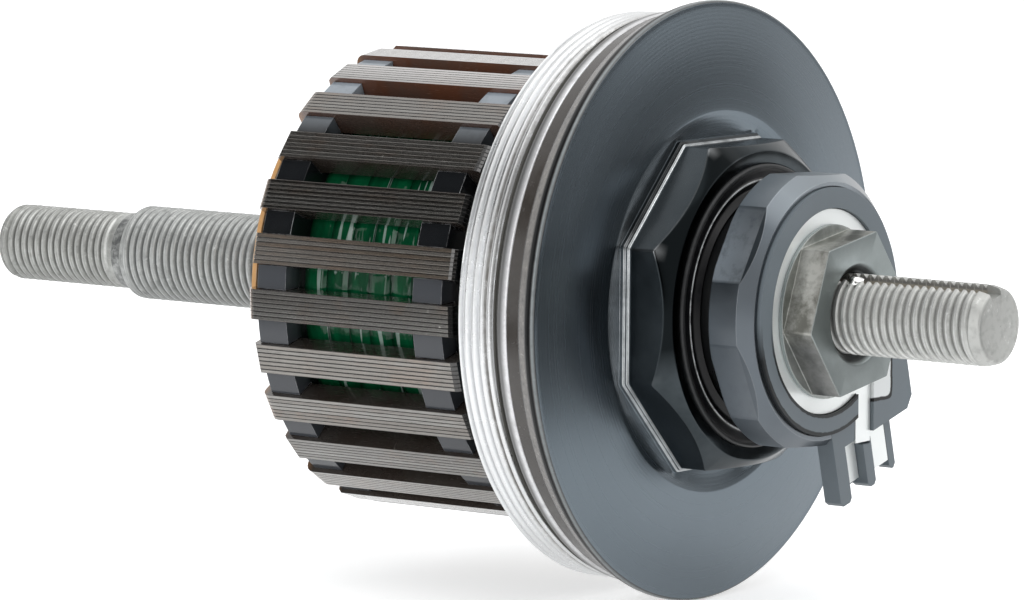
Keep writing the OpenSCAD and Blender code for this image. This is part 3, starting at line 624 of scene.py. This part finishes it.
def cap_side():
    """The cap's side wall: varnish-dark bands, a grainy line painted at its step as a highlight and a rim
    painted bright as a highlight.
    """
    m = material("cap_side", (0.03, 0.028, 0.024), 0.0, 0.22, Specular_IOR_Level=0.6)
    n = Nodes(m)
    _, s, _ = n.polar()
    grain = n.noise(900.0, 5.0, 0.7)
    dull = n.noise(150.0, 4.0, 0.65)
    tone = n.mix(n.ramp(s, 27.5, 27.8), (0.032, 0.026, 0.021), (0.012, 0.013, 0.014))
    tone = n.mix(n.ramp(dull, 0.4, 0.75, 0.0, 0.6), tone, (0.075, 0.066, 0.06))
    # a grainy light line painted at the step, as a highlight on its rounded edge
    step = n.times(n.band(s, 27.75, 28.0, 28.85, 29.05), n.ramp(grain, 0.3, 0.6, 0.3, 1.0))
    tone = n.mix(step, tone, (0.2, 0.185, 0.17))
    # a bright line painted along the rim as a highlight
    rim = n.band(s, CAP_RIM - 0.45, CAP_RIM - 0.3, CAP_RIM - 0.15, CAP_RIM)
    n.color(n.mix(n.times(rim, n.ramp(grain, 0.2, 0.5, 0.6, 1.0)), tone, (0.22, 0.24, 0.245)))
    n.rough(n.ramp(grain, 0.3, 0.7, 0.16, 0.3))
    normal, _ = n.edge(0.08)
    n.bump(grain, 0.15, 0.01, normal)
    return m


def ring_metal():
    """Bright turned aluminium, dulled and grainy on its last turns."""
    m = material("machined_aluminium", (0.74, 0.75, 0.755), 1.0, 0.3)
    n = Nodes(m)
    r, s, _ = n.polar()
    grain = n.noise(900.0, 5.0, 0.7)
    cloud = n.noise(90.0, 3.0, 0.6)
    tone = n.mix(n.ramp(r, RING_R - 0.45, RING_R - 0.15), (0.66, 0.67, 0.68), (0.79, 0.8, 0.805))
    dull = n.times(n.ramp(s, THREAD_END - 2.0, THREAD_END - 1.0), n.ramp(s, 23.6, 23.3, 0.2, 1.0))
    dull = n.times(dull, n.ramp(r, RING_R - 0.02, RING_R - 0.25, 0.15, 0.9))
    tone = n.mix(n.times(dull, n.ramp(grain, 0.25, 0.6, 0.35, 1.0)), tone, (0.19, 0.175, 0.155))
    n.color(n.mix(n.ramp(cloud, 0.4, 0.7, 0.0, 0.2), tone, (0.65, 0.65, 0.65)))
    n.rough(n.ramp(grain, 0.3, 0.7, 0.24, 0.38))
    normal, _ = n.edge(0.08)
    n.bump(grain, 0.25, 0.02, normal)
    return m


def collar_look():
    """The ring's plain collar: dull by the groove, painted brighter at its outer edge as a highlight."""
    m = material("collar_aluminium", (0.3, 0.3, 0.31), 0.5, 0.35)
    n = Nodes(m)
    _, s, _ = n.polar()
    grain = n.noise(900.0, 5.0, 0.7)
    # dull by the groove, and a painted highlight at the outer edge
    tone = n.mix(n.ramp(s, CAP_BACK - 0.8, CAP_BACK - 0.3), (0.2, 0.2, 0.2), (0.8, 0.8, 0.81))
    n.color(n.mix(n.ramp(grain, 0.45, 0.75, 0.0, 0.4), tone, (0.2, 0.19, 0.19)))
    n.rough(n.ramp(grain, 0.3, 0.7, 0.28, 0.42))
    normal, _ = n.edge(0.13)
    n.bump(grain, 0.3, 0.02, normal)
    return m


def worn_nut():
    """Dark blued nut, rubbed bare and streaky on the flats where a spanner sat, with a painted sheen that
    lightens its top.
    """
    m = material("end_nut_steel", NUT_TONE, 1.0, 0.34, Coat_Weight=0.6, Coat_Roughness=0.2)
    n = Nodes(m)
    r, s, angle = n.polar()
    fine = n.noise(1300.0, 4.0, 0.6)
    cloud = n.noise(90.0, 3.0, 0.6)
    streak = n.noise(1.0, 4.0, 0.7, n.vector(n.times(s, 0.6), n.times(angle, 0.12), 2.0))
    tone = n.mix(n.ramp(cloud, 0.35, 0.7, 0.0, 0.5), NUT_TONE, scaled(NUT_TONE, 1.5))
    # the flats lie nearer the axle than the turned part between them
    flat = n.times(n.ramp(r, 15.32, 15.2), n.ramp(s, 44.25, 44.15))
    flat = n.times(flat, n.ramp(angle, 38.0, 60.0, 0.35, 1.0), n.ramp(angle, 84.0, 76.0, 0.08, 1.0))
    tone = n.mix(n.times(flat, n.ramp(streak, 0.25, 0.5, 0.45, 1.0)), tone, (0.56, 0.6, 0.64))
    # a painted sheen, lighter towards the top
    tone = n.mix(n.ramp(n.away(angle, 5.0), 42.0, 22.0, 0.0, 0.6), tone, (0.34, 0.38, 0.41))
    normal, edges = n.edge(0.16)
    n.color(n.mix(n.times(edges, 0.5), tone, (0.6, 0.61, 0.62)))
    n.rough(n.ramp(cloud, 0.3, 0.7, 0.28, 0.4))
    n.bump(n.math("ADD", fine, n.times(streak, 0.8)), 0.25, 0.02, normal)
    return m


def bobbin_look():
    """Glossy black moulding with pale edges, partly rubbed and partly a painted highlight, and a grey tone on
    its teeth, partly dusty and partly a painted reflection, most on those that face up.
    """
    # the near-white edges are partly rubbed and partly a painted highlight
    m = satin("bobbin_plastic", (0.008, 0.009, 0.0105), 0.0, 0.17, (0.85, 0.86, 0.87),
              edge=0.11, wear_and_highlight=2.2, grain=0.12, spread=0.05)
    n = Nodes(m)
    r, _, angle = n.polar()
    # a grey tone on the teeth that face up, partly dusty and partly a painted reflection of the sky
    dust_and_sheen = n.times(n.ramp(n.away(angle), 46.0, 32.0), n.ramp(r, 22.5, 23.5))
    dust_and_sheen = n.times(dust_and_sheen, n.ramp(n.noise(500.0, 4.0, 0.6), 0.2, 0.5, 0.6, 1.0))
    tone = n.mix(dust_and_sheen, n.tone(), (0.3, 0.34, 0.38))
    # a grey tone on the teeth that face sideways and down, partly dusty and partly a painted reflection
    lower = n.times(n.ramp(n.away(angle), 77.0, 82.0), n.ramp(r, 22.5, 23.5, 0.0, 0.42))
    n.color(n.mix(lower, tone, (0.13, 0.14, 0.16)))
    return m


def seal_look():
    """Black rubber, dusty on its rim, with one bright line painted where its lip runs, as a highlight."""
    m = material("seal_rubber", (0.005, 0.005, 0.006), 0.0, 0.32, Specular_IOR_Level=0.25)
    n = Nodes(m)
    r, s, _ = n.polar()
    grain = n.noise(900.0, 5.0, 0.7)
    tone = n.mix(n.ramp(grain, 0.4, 0.8), (0.004, 0.004, 0.005), (0.012, 0.012, 0.013))
    rim = n.times(n.ramp(r, 14.85, 14.95), n.ramp(grain, 0.3, 0.6, 0.5, 1.0))
    tone = n.mix(rim, tone, (0.035, 0.036, 0.037))
    # a bright line painted along the lip as a highlight
    lip = n.times(n.band(r, 13.55, 13.63, 13.74, 13.82), n.ramp(s, 37.05, 37.15))
    n.color(n.mix(n.times(lip, n.ramp(grain, 0.35, 0.55, 0.3, 1.0)), tone, (0.8, 0.82, 0.82)))
    n.rough(n.ramp(grain, 0.3, 0.7, 0.26, 0.4))
    n.bump(grain, 0.15, 0.01)
    return m


def connector_look():
    """Grey moulding with ragged dark seams round the white insulating plate, and ragged painted shadow lines
    beside the bead.
    """
    m = satin("connector_plastic", (0.135, 0.158, 0.175), 0.0, 0.4, (0.22, 0.25, 0.27),
              edge=0.12, wear_and_highlight=0.6, grain=0.25, spread=0.06, Specular_IOR_Level=0.25)
    n = Nodes(m)
    r, s, _ = n.polar()
    x, _, z = n.axes()
    across, down = n.times(x, 1000.0), n.times(z, -1000.0)
    ragged = n.times(n.math("SUBTRACT", n.noise(900.0, 4.0, 0.7), 0.5), 0.3)
    # how far outside the plate with its rounded corners, in mm
    outside = n.math("SMOOTH_MAX", n.math("SUBTRACT", across, 12.3), n.math("SUBTRACT", down, 10.6), 1.2)
    outside = n.math("SMOOTH_MAX", outside, n.math("SUBTRACT", 3.4, down), 1.2)
    outside = n.math("ADD", outside, ragged)
    front = n.times(n.ramp(s, 45.45, 45.55), n.ramp(across, 7.0, 7.2))
    seam = n.times(n.ramp(outside, 0.2, 0.1), front)
    # painted shadow lines inside and outside the bead, on its lower half and away from the plate
    jagged_r = n.math("ADD", r, ragged)
    bead = n.times(n.ramp(jagged_r, 12.95, 13.05), n.ramp(r, 13.6, 13.5))
    bead = n.math("MAXIMUM", n.ramp(jagged_r, 11.52, 11.46), bead)
    bead = n.times(bead, n.ramp(s, 45.5, 45.6), n.ramp(down, 0.0, 4.0))
    bead = n.times(bead, n.ramp(r, 15.0, 13.6), n.ramp(across, 8.0, 7.0), 0.92)
    tone = n.mix(n.math("MAXIMUM", seam, bead), n.tone(), (0.004, 0.004, 0.004))
    n.color(n.mix(n.times(n.ramp(outside, -0.2, -0.3), front), tone, (0.78, 0.8, 0.8)))
    return m


def plain_nut():
    """Zinc-grey nut: cool face, sides rubbed warm and mottled, bright corners painted as highlights, and
    painted shade in the countersink and on what faces down.
    """
    m = material("nut_steel", (0.26, 0.272, 0.265), 1.0, 0.36)
    n = Nodes(m)
    r, s, angle = n.polar()
    fine = n.noise(1400.0, 4.0, 0.6)
    cloud = n.noise(260.0, 5.0, 0.7)
    tone = n.mix(n.ramp(cloud, 0.35, 0.7, 0.0, 0.3), (0.28, 0.312, 0.31), (0.22, 0.24, 0.236))
    # painted shade in the countersink round the bore
    tone = n.mix(n.ramp(r, 5.4, 5.1, 0.0, 0.85), tone, (0.03, 0.03, 0.03))
    # the hexagon's sides, and painted shade on what faces down
    side = n.times(n.ramp(r, NUT_AF / 2 - 0.1, NUT_AF / 2 - 0.01),
                   n.band(s, NUT_BACK - 0.05, NUT_BACK + 0.05, NUT_FRONT - 0.2, NUT_FRONT - 0.02))
    rubbed = n.mix(n.ramp(cloud, 0.4, 0.6), (0.19, 0.18, 0.15), (0.55, 0.54, 0.5))
    tone = n.mix(n.times(side, 0.8), tone, rubbed)
    shade_below = n.times(side, n.ramp(angle, 95.0, 112.0, 0.0, 0.65))
    tone = n.mix(shade_below, tone, (0.15, 0.155, 0.16))
    lower = n.times(n.ramp(n.away(angle), 80.0, 130.0, 0.0, 0.5), n.ramp(s, NUT_FRONT - 0.1, NUT_FRONT - 0.02))
    tone = n.mix(lower, tone, (0.1, 0.112, 0.11))
    normal, edges = n.edge(0.12)
    # bright corners painted as highlights
    n.color(n.mix(n.times(edges, n.ramp(cloud, 0.3, 0.6, 0.5, 1.0)), tone, (0.75, 0.74, 0.69)))
    n.rough(n.ramp(cloud, 0.3, 0.7, 0.3, 0.44))
    n.bump(n.math("ADD", fine, cloud), 0.3, 0.015, normal)
    return m


looks = {
    "axle_steel": steel_thread("axle_steel", AXLE_TONE, AXLE_R - 0.43, AXLE_R - 0.16, (0.14, 0.145, 0.145)),
    "stub_steel": steel_thread("stub_steel", STUB_TONE, STUB_R - 0.43, STUB_R - 0.16, (0.14, 0.14, 0.135)),
    "sleeve_aluminium": machined("sleeve_aluminium", (0.6, 0.61, 0.62), 0.34),
    "bobbin_plastic": bobbin_look(),
    "copper": machined("copper", (0.62, 0.3, 0.16), 0.3),
    "coil_tape": tape(),
    "laminated_steel": lamination(),
    "plated_steel": machined("plated_steel", (0.38, 0.38, 0.365), 0.36, rings=6.0, strength=0.15),
    # pale edges, partly rubbed and partly a warm painted highlight
    "fibre_guard": satin("fibre_guard", (0.6, 0.33, 0.13), 0.0, 0.35, (0.95, 0.8, 0.6), edge=0.25, wear_and_highlight=1.3),
    "lead_insulation": satin("lead_insulation", (0.3, 0.02, 0.012), 0.0, 0.3, (0.35, 0.05, 0.04),
                             edge=0.1, wear_and_highlight=0.2),
    "bearing_steel": machined("bearing_steel", (0.4, 0.4, 0.41), 0.2, rings=18.0, strength=0.12),
    "cone_black": satin("cone_black", (0.006, 0.0065, 0.007), 0.0, 0.3, (0.05, 0.05, 0.05),
                        edge=0.08, grain=0.08, spread=0.04),
    "end_nut_steel": worn_nut(),
    "connector_plastic": connector_look(),
    "contact_tin": satin("contact_tin", (0.8, 0.83, 0.82), 0.6, 0.38, (0.95, 0.95, 0.95),
                         edge=0.08, wear_and_highlight=0.2, grain=0.4),
    "nut_steel": plain_nut(),
    "black_anodised": black_cap(),
    "cap_boss": cap_boss(),
    "cap_side": cap_side(),
    "machined_aluminium": ring_metal(),
    "collar_aluminium": collar_look(),
    "groove_grime": satin("groove_grime", (0.2, 0.195, 0.18), 0.0, 0.5, (0.35, 0.34, 0.32),
                          edge=0.1, grain=0.6, spread=0.08),
    # a dark band painted as shade at the back corner of the rim
    "cap_rim_shade": satin("cap_rim_shade", (0.006, 0.0065, 0.007), 0.0, 0.3, (0.03, 0.03, 0.03),
                        edge=0.08, grain=0.2, spread=0.05, Specular_IOR_Level=0.12),
    "dusty_rubber": satin("dusty_rubber", (0.1, 0.098, 0.093), 0.0, 0.4, (0.2, 0.2, 0.19),
                          edge=0.1, wear_and_highlight=0.8, grain=0.8),
    "seal_rubber": seal_look(),
    "retainer_plastic": satin("retainer_plastic", (0.5, 0.44, 0.28), 0.0, 0.4, (0.6, 0.5, 0.4),
                              edge=0.1, wear_and_highlight=0.2),
    "burr_steel": machined("burr_steel", (0.8, 0.8, 0.78), 0.25, rings=3.0, strength=0.3),
    "ball_steel": machined("ball_steel", (0.68, 0.68, 0.7), 0.12, rings=3.0, strength=0.03),
}


def dress(piece, *names):
    """Gives a piece its looks, the first one for all faces that ask for no other."""
    piece.data.materials.clear()
    for name in names:
        piece.data.materials.append(looks[name])


slots = {p["node"]: p["material_slot"] for p in frame["record"]["subparts"]}
for node, piece in frame["nodes"].items():
    dress(piece, slots[node])
dress(frame["nodes"]["bearing_cone"], "cone_black")


# Axle with its rolled threads and keyway

def right_outline(s):
    """Outline of the axle's connector end, a soft cone that rolls over into the end face."""
    if s > AXLE_END - 0.4:
        k = (s - AXLE_END + 0.4) / 0.3
        return 3.72 + 0.35 * math.sqrt(max(0.0, 1.0 - k * k))
    return STUB_R - 0.29 * max(0.0, (s - AXLE_END + 1.7) / 1.3) ** 1.4


def left_outline(s):
    """Outline of the axle's left end, which is rounded all the way to its face."""
    k = max(0.0, (-AXLE_END + 1.35 - s) / 1.25)
    return STUB_R - 0.95 * (1.0 - math.sqrt(max(0.0, 1.0 - 0.98 * k * k)))


def shoulder_outline(s):
    """Outline of the scuffed run-out and the cone up to the thick thread."""
    k = share((s - LEFT_STEP - 1.3) / 1.1)
    return STUB_R + 0.04 + (AXLE_R - STUB_R - 0.04) * math.sin(math.pi / 2 * k) ** 0.8


axle_pieces = [
    threaded("axle_thread_right", "axle_unit", "axle_steel", THIN_START, AXLE_END, STUB_R, AXLE_DEPTH, 0.35,
             lambda s: share((AXLE_END - 1.3 - s) / 0.6), right_outline, key=KEYWAY, closed=("high",)),
    threaded("axle_thread_left", "axle_unit", "axle_steel", -AXLE_END, LEFT_STEP, STUB_R, AXLE_DEPTH, 0.1,
             lambda s: share((LEFT_STEP - 0.4 - s) / 1.2), left_outline, closed=("low",)),
    threaded("axle_thread_middle", "axle_unit", "axle_steel", LEFT_STEP, LEFT_THREAD_END, AXLE_R, AXLE_DEPTH,
             0.6, lambda s: share((s - LEFT_STEP - 2.0) / 0.9), shoulder_outline),
    turned("axle_middle", "axle_unit", "axle_steel",
           [(AXLE_R, LEFT_THREAD_END), (AXLE_R, THIN_START - 0.5), (STUB_R, THIN_START)], closed=False),
    turned("axle_shoulder", "axle_unit", "axle_steel", [
        (STUB_R - 0.5, LEFT_STEP), (STUB_R + 0.02, LEFT_STEP), (STUB_R + 0.02, LEFT_STEP + 0.1)], closed=False),
]
for piece in axle_pieces:
    dress(piece, "stub_steel" if piece.name in ("axle_thread_right", "axle_thread_left") else "axle_steel")
    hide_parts("axle")


# A small bright burr where the keyway comes out of the nut

def burr_mesh(rows=8, columns=16):
    """Points and faces of a lump, in rings from its outer end to the axle."""
    points, faces = [], []
    for i in range(rows + 1):
        for j in range(columns):
            polar, around = math.pi * i / rows, 2 * math.pi * j / columns
            lump = 1.0 + 0.16 * math.sin(3 * around + 2 * polar) + 0.1 * math.sin(5 * polar + around)
            side = 0.75 * lump * math.sin(polar) * math.cos(around)
            out = 0.5 * lump * math.cos(polar)
            along = 0.95 * lump * math.sin(polar) * math.sin(around)
            points.append(place(BURR_ANGLE + side * 12.5, BURR_R + out, BURR_STATION + along))
    for i in range(rows):
        for j in range(columns):
            a, b = i * columns + j, i * columns + (j + 1) % columns
            faces.append((a, b, b + columns, a + columns))
    return points, faces


burr = build("thread_burr", "axle_unit", "axle_steel", *burr_mesh(), sharp=60.0)
dress(burr, "burr_steel")


# Axle nut: hexagon on a round foot, with a countersunk face

def nut_profile(angle):
    """The nut's profile at a clock angle."""
    hexagon = polygon(angle, NUT_AF, 6, NUT_ANGLE, 1.0)
    return soft([
        (NUT_BORE, NUT_FOOT_BACK), (NUT_FOOT_R, NUT_FOOT_BACK, 0.1), (NUT_FOOT_R, NUT_BACK, 0.12),
        (hexagon, NUT_BACK, 0.08), (hexagon, NUT_FRONT, 0.13), (5.5, NUT_FRONT, 0.12),
        (4.7, NUT_FRONT - 0.8, 0.1), (NUT_BORE, NUT_FRONT - 0.9)], 3)


nut = turned("axle_nut_hexagon", "axle_unit", "nut_steel", nut_profile,
             fan(6, NUT_ANGLE, (0.0, 0.25, 0.6, 1.0, 1.5, 2.5, 5.0, 9.0, 14.0, 20.0, 26.0)), sharp=30.0)
dress(nut, "nut_steel")
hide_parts("axle_nut")

# Threaded ring on the cap, its collar with a grimy groove, and the O-ring
ring = threaded("ring_thread", "cap_unit", "machined_aluminium", RING_START, THREAD_END, RING_R, RING_DEPTH,
                0.275, lambda s: share((s - RING_START) / 0.3),
                lambda s: RING_R - 0.25 * max(0.0, 1.0 - (s - RING_START) / 0.25) ** 2, columns=360)
collar = turned("ring_collar", "cap_unit", "machined_aluminium", soft([
    (RING_BORE, RING_START + 0.2, 0.15), (RING_BORE + 0.3, RING_START, 0.1), (RING_R - 0.25, RING_START),
    (RING_R - 0.8, RING_START + 0.3), (RING_R - 0.8, THREAD_END - 0.1), (RING_R - 0.05, THREAD_END + 0.01),
    (RING_R - 0.06, THREAD_END + 0.03), (GROOVE_R, THREAD_END + 0.04), (GROOVE_R, GROOVE_END, 0.05),
    (COLLAR_R, GROOVE_END, 0.2), (COLLAR_R, CAP_BACK, 0.2), (RING_BORE, CAP_BACK)]), clock(360))
o_ring_station = (THREAD_END + GROOVE_END) / 2
o_ring = turned("o_ring_bead", "cap_unit", "seal_rubber",
                [(O_RING_R + 0.3 * math.cos(i * math.pi / 8), o_ring_station + 0.3 * math.sin(i * math.pi / 8))
                 for i in range(16)], clock(360))
dress(ring, "machined_aluminium")
dress(collar, "collar_aluminium", "groove_grime")
dress(o_ring, "dusty_rubber")
for face in collar.data.polygons:
    r, s = middle(face)
    if r > GROOVE_R - 0.1 and THREAD_END - 0.1 < s < GROOVE_END + 0.02:
        face.material_index = 1
for piece in (ring, collar):
    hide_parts("threaded_ring")
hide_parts("o_ring")


# Hub cap: turned dish and spigot with the octagonal boss

def cap_profile(angle):
    """The cap's profile at a clock angle, from the bore round the spigot, the dish and the boss."""
    flat, low, lip = [polygon(angle, af, 8, BOSS_ANGLE) for af in (BOSS_AF, TROUGH_AF, FOOT_AF)]
    cone = CONE_START + BOSS_AF / 2 / math.cos(math.radians(22.5))
    dish = []
    for i in range(1, 16):
        t = i / 16
        rise = 0.7 * math.sin(math.pi / 2 * t) + 0.3 * t
        dish.append((DISH_R - t * (DISH_R - DISH_INNER_R), CAP_RIM + (CAP_FACE - CAP_RIM) * rise))
    return soft([
        (CAP_BORE, 26.4, 0.1), (16.7, 26.4, 0.2), (17.3, 27.0, 0.2), (SPIGOT_BORE, 27.0, 0.6),
        (SPIGOT_BORE, SPIGOT_BACK, 0.2), (SPIGOT_R, SPIGOT_BACK, 0.2), (SPIGOT_R, CAP_BACK, 0.05),
        (31.25, CAP_BACK, 0.15), (31.45, 27.5, 0.12), (31.8, 27.7, 0.15), (32.55, 29.2, 0.3),
        (CAP_R, 29.6, 0.2), (CAP_R, 30.1, 0.16), (CAP_R - 0.2, CAP_RIM, 0.16), (DISH_R, CAP_RIM, 0.3)]
        + dish + [
        (DISH_INNER_R, CAP_FACE, 0.12), (20.1, 31.35, 0.5), (low + 0.5 * (20.1 - low), 31.12, 0.4),
        (low + 0.15, 30.98, 0.3), (low, TROUGH, 0.1), (low, CAP_FACE, 0.14), (lip, CAP_FACE, 0.07),
        (lip, FOOT_FRONT, 0.12), (flat, FOOT_FRONT, 0.1), (flat, cone - flat, 0.16),
        (16.79, BOSS_FRONT, 0.12), (SEAL_R, BOSS_FRONT, 0.12), (SEAL_R, SEAL_BACK, 0.1),
        (14.275, SEAL_BACK, 0.1), (14.275, 28.0, 0.1), (CAP_BORE, 28.0, 0.1)], 3)


cap_angles = fan(8, BOSS_ANGLE, (0.0, 0.2, 0.45, 0.7, 1.1, 2.0, 3.5, 5.5, 8.0, 11.0, 14.0, 17.0, 19.8))
cap = turned("cap_turning", "cap_unit", "black_anodised", cap_profile, cap_angles, sharp=24.0)
dress(cap, "black_anodised", "cap_boss", "cap_side", "cap_rim_shade")
for face in cap.data.polygons:
    r, s = middle(face)
    angle = math.degrees(math.atan2(-face.center.x, face.center.z))
    if r < polygon(angle, TROUGH_AF, 8, BOSS_ANGLE) + 0.01 and s > TROUGH:
        face.material_index = 1
    # the back corner of the rim takes the painted shade
    elif r > CAP_R - 0.4 and 29.1 < s < 29.78:
        face.material_index = 3
    elif r > RING_R and s < CAP_RIM - 0.02:
        face.material_index = 2
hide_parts("hub_cap")

# Dust seal with its rim and its running lip
seal = turned("dust_seal_ring", "cap_unit", "seal_rubber", soft([
    (SEAL_BORE, SEAL_BACK), (15.38, SEAL_BACK), (15.38, 37.25, 0.15), (15.2, 37.4, 0.1), (14.9, 37.4, 0.12),
    (14.6, 37.1, 0.25), (13.9, 37.15, 0.2), (13.7, 37.3, 0.08), (13.5, 37.2, 0.15), (SEAL_BORE, 36.8, 0.5),
    (12.3, 37.6, 0.06), (12.3, 37.1, 0.1), (SEAL_BORE, 36.0, 0.2)], 4))
dress(seal, "seal_rubber")
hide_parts("dust_seal")


# Tape over the coil, wound in overlapping turns that lie unevenly

def tape_profile(angle):
    """The tape's outline at a clock angle: each turn rises to its edge and is pulled in here and there."""
    a = math.radians(angle)
    rows = [(TAPE_R - 0.9, COIL_START)]
    for i in range(TAPE_ROWS + 1):
        t = i / TAPE_ROWS
        band = min(TAPE_TURNS - 1, int(t * TAPE_TURNS))
        within = t * TAPE_TURNS - band
        step = 0.12 * within + 0.09 * (1.0 + math.sin(band * 2.3 + 1.0))
        pull = 0.1 * (1.0 + math.sin(9 * a + band * 1.9)) * math.sin(math.pi * within)
        pull += 0.02 * (1.0 + math.sin(17 * a + band * 4.1 + 3.0 * within))
        rows.append((TAPE_R + step + pull, COIL_START + t * (COIL_END - COIL_START)))
    return rows + [(TAPE_R - 0.9, COIL_END)]


tape_piece = turned("coil_tape_turns", "axle_unit", "coil_tape", tape_profile, clock(480), closed=False,
                    sharp=50.0)
dress(tape_piece, "coil_tape")
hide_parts("coil_tape")


# Plain floor and white surroundings. Both look brighter to the camera and in reflections than they light.

def stage_sheet(name, corners, look):
    """A flat sheet of the set."""
    mesh = bpy.data.meshes.new(name)
    mesh.from_pydata(corners, [], [(0, 1, 2, 3)])
    sheet = bpy.data.objects.new(name, mesh)
    bpy.context.scene.collection.objects.link(sheet)
    mesh.materials.append(look)
    return sheet


def floor_look():
    """A white table that glows a little where it is seen."""
    m = material("floor", (0.9, 0.9, 0.9), 0.0, 0.9, Specular_IOR_Level=0.1)
    n = Nodes(m)
    glow = n.add("ShaderNodeEmission")
    glow.inputs["Color"].default_value = (1, 1, 1, 1)
    glow.inputs["Strength"].default_value = 0.55
    lit = n.add("ShaderNodeAddShader")
    n.join(n.shader.outputs[0], lit.inputs[0])
    n.join(glow.outputs[0], lit.inputs[1])
    seen = n.rays("Is Camera Ray", "Is Glossy Ray")
    n.show("Material Output", seen, n.shader.outputs[0], lit.outputs[0])
    return m


FLOOR_CORNERS = ((-6, -6), (6, -6), (6, 6), (-6, 6))
floor_z = cad_box[0][2] - 0.0002
stage_sheet("floor", [(x, y, floor_z) for x, y in FLOOR_CORNERS], floor_look())

world = bpy.data.worlds.new("world")
bpy.context.scene.world = world
world.use_nodes = True
sky = Nodes(world)
light = sky.tree.nodes["Background"]
light.inputs["Color"].default_value = (0.97, 0.985, 1.0, 1)
light.inputs["Strength"].default_value = 0.7
white = sky.add("ShaderNodeBackground")
white.inputs["Color"].default_value = (1, 1, 1, 1)
white.inputs["Strength"].default_value = 1.0
seen = sky.rays("Is Camera Ray", "Is Glossy Ray", "Is Transmission Ray")
sky.show("World Output", seen, light.outputs[0], white.outputs[0])


# Soft lamps, and dark cards that the camera doesn't see

def lamp(name, where, size, power):
    """A softbox that points at the frame's origin."""
    data = bpy.data.lights.new(name, "AREA")
    data.shape = "RECTANGLE"
    data.size, data.size_y = size
    data.energy = power
    obj = bpy.data.objects.new(name, data)
    obj.location = where
    obj.rotation_euler = (-Vector(where)).to_track_quat("-Z", "Y").to_euler()
    bpy.context.scene.collection.objects.link(obj)


def flag(name, corners, grey=0.012):
    """A dark card beside the table, as a photographer sets one to darken a reflection."""
    card = stage_sheet(name, corners, material(name, (grey, grey, grey), 0.0, 0.9))
    card.visible_camera = False
    card.visible_shadow = False
    card.visible_diffuse = False


def toward(azimuth, elevation, distance):
    """A point at a distance from the origin, at an azimuth and an elevation in degrees."""
    a, e = math.radians(azimuth), math.radians(elevation)
    return (distance * math.cos(e) * math.cos(a), distance * math.cos(e) * math.sin(a), distance * math.sin(e))


low = floor_z + 0.001
flag("flag_right", [(-0.01, -0.19, low), (0.12, -0.19, low), (0.12, -0.19, 0.0), (-0.01, -0.19, 0.003)])
flag("flag_haze", [(-0.01, -0.2, 0.002), (0.12, -0.2, 0.002), (0.12, -0.2, 0.06), (-0.01, -0.2, 0.06)], 0.3)
flag("flag_corner", [(0.12, -0.192, -0.012), (0.2, -0.135, 0.0), (0.2, -0.135, 0.04), (0.12, -0.192, 0.05)],
     0.25)
flag("flag_table", [(-0.03, -0.112, low), (0.07, -0.112, low), (0.12, -0.188, low), (-0.03, -0.188, low)],
     0.15)
flag("flag_left", [toward(100, 66, 0.6), toward(165, 52, 0.6), toward(162, 4, 0.6), toward(108, 22, 0.6)])
flag("flag_back", [toward(130, 6, 0.7), toward(160, 6, 0.7), (-0.62, 0.22, low), (-0.42, 0.5, low)], 0.3)
flag("flag_behind", [(-0.1, 0.05, low), (-0.36, 0.08, low), (-0.42, 0.4, low), (-0.05, 0.24, low)], 0.3)
flag("flag_front", [toward(-160, 3, 0.55), toward(-128, 3, 0.55), toward(-128, 35, 0.55),
                    toward(-160, 35, 0.55)])
lamp("top_softbox", (-0.15, -0.25, 0.95), (0.9, 0.7), 2.8)
lamp("left_softbox", (-1.0, 0.05, 0.25), (0.5, 0.6), 1.5)
lamp("right_softbox", (0.55, -0.75, 0.45), (0.5, 0.6), 1.4)
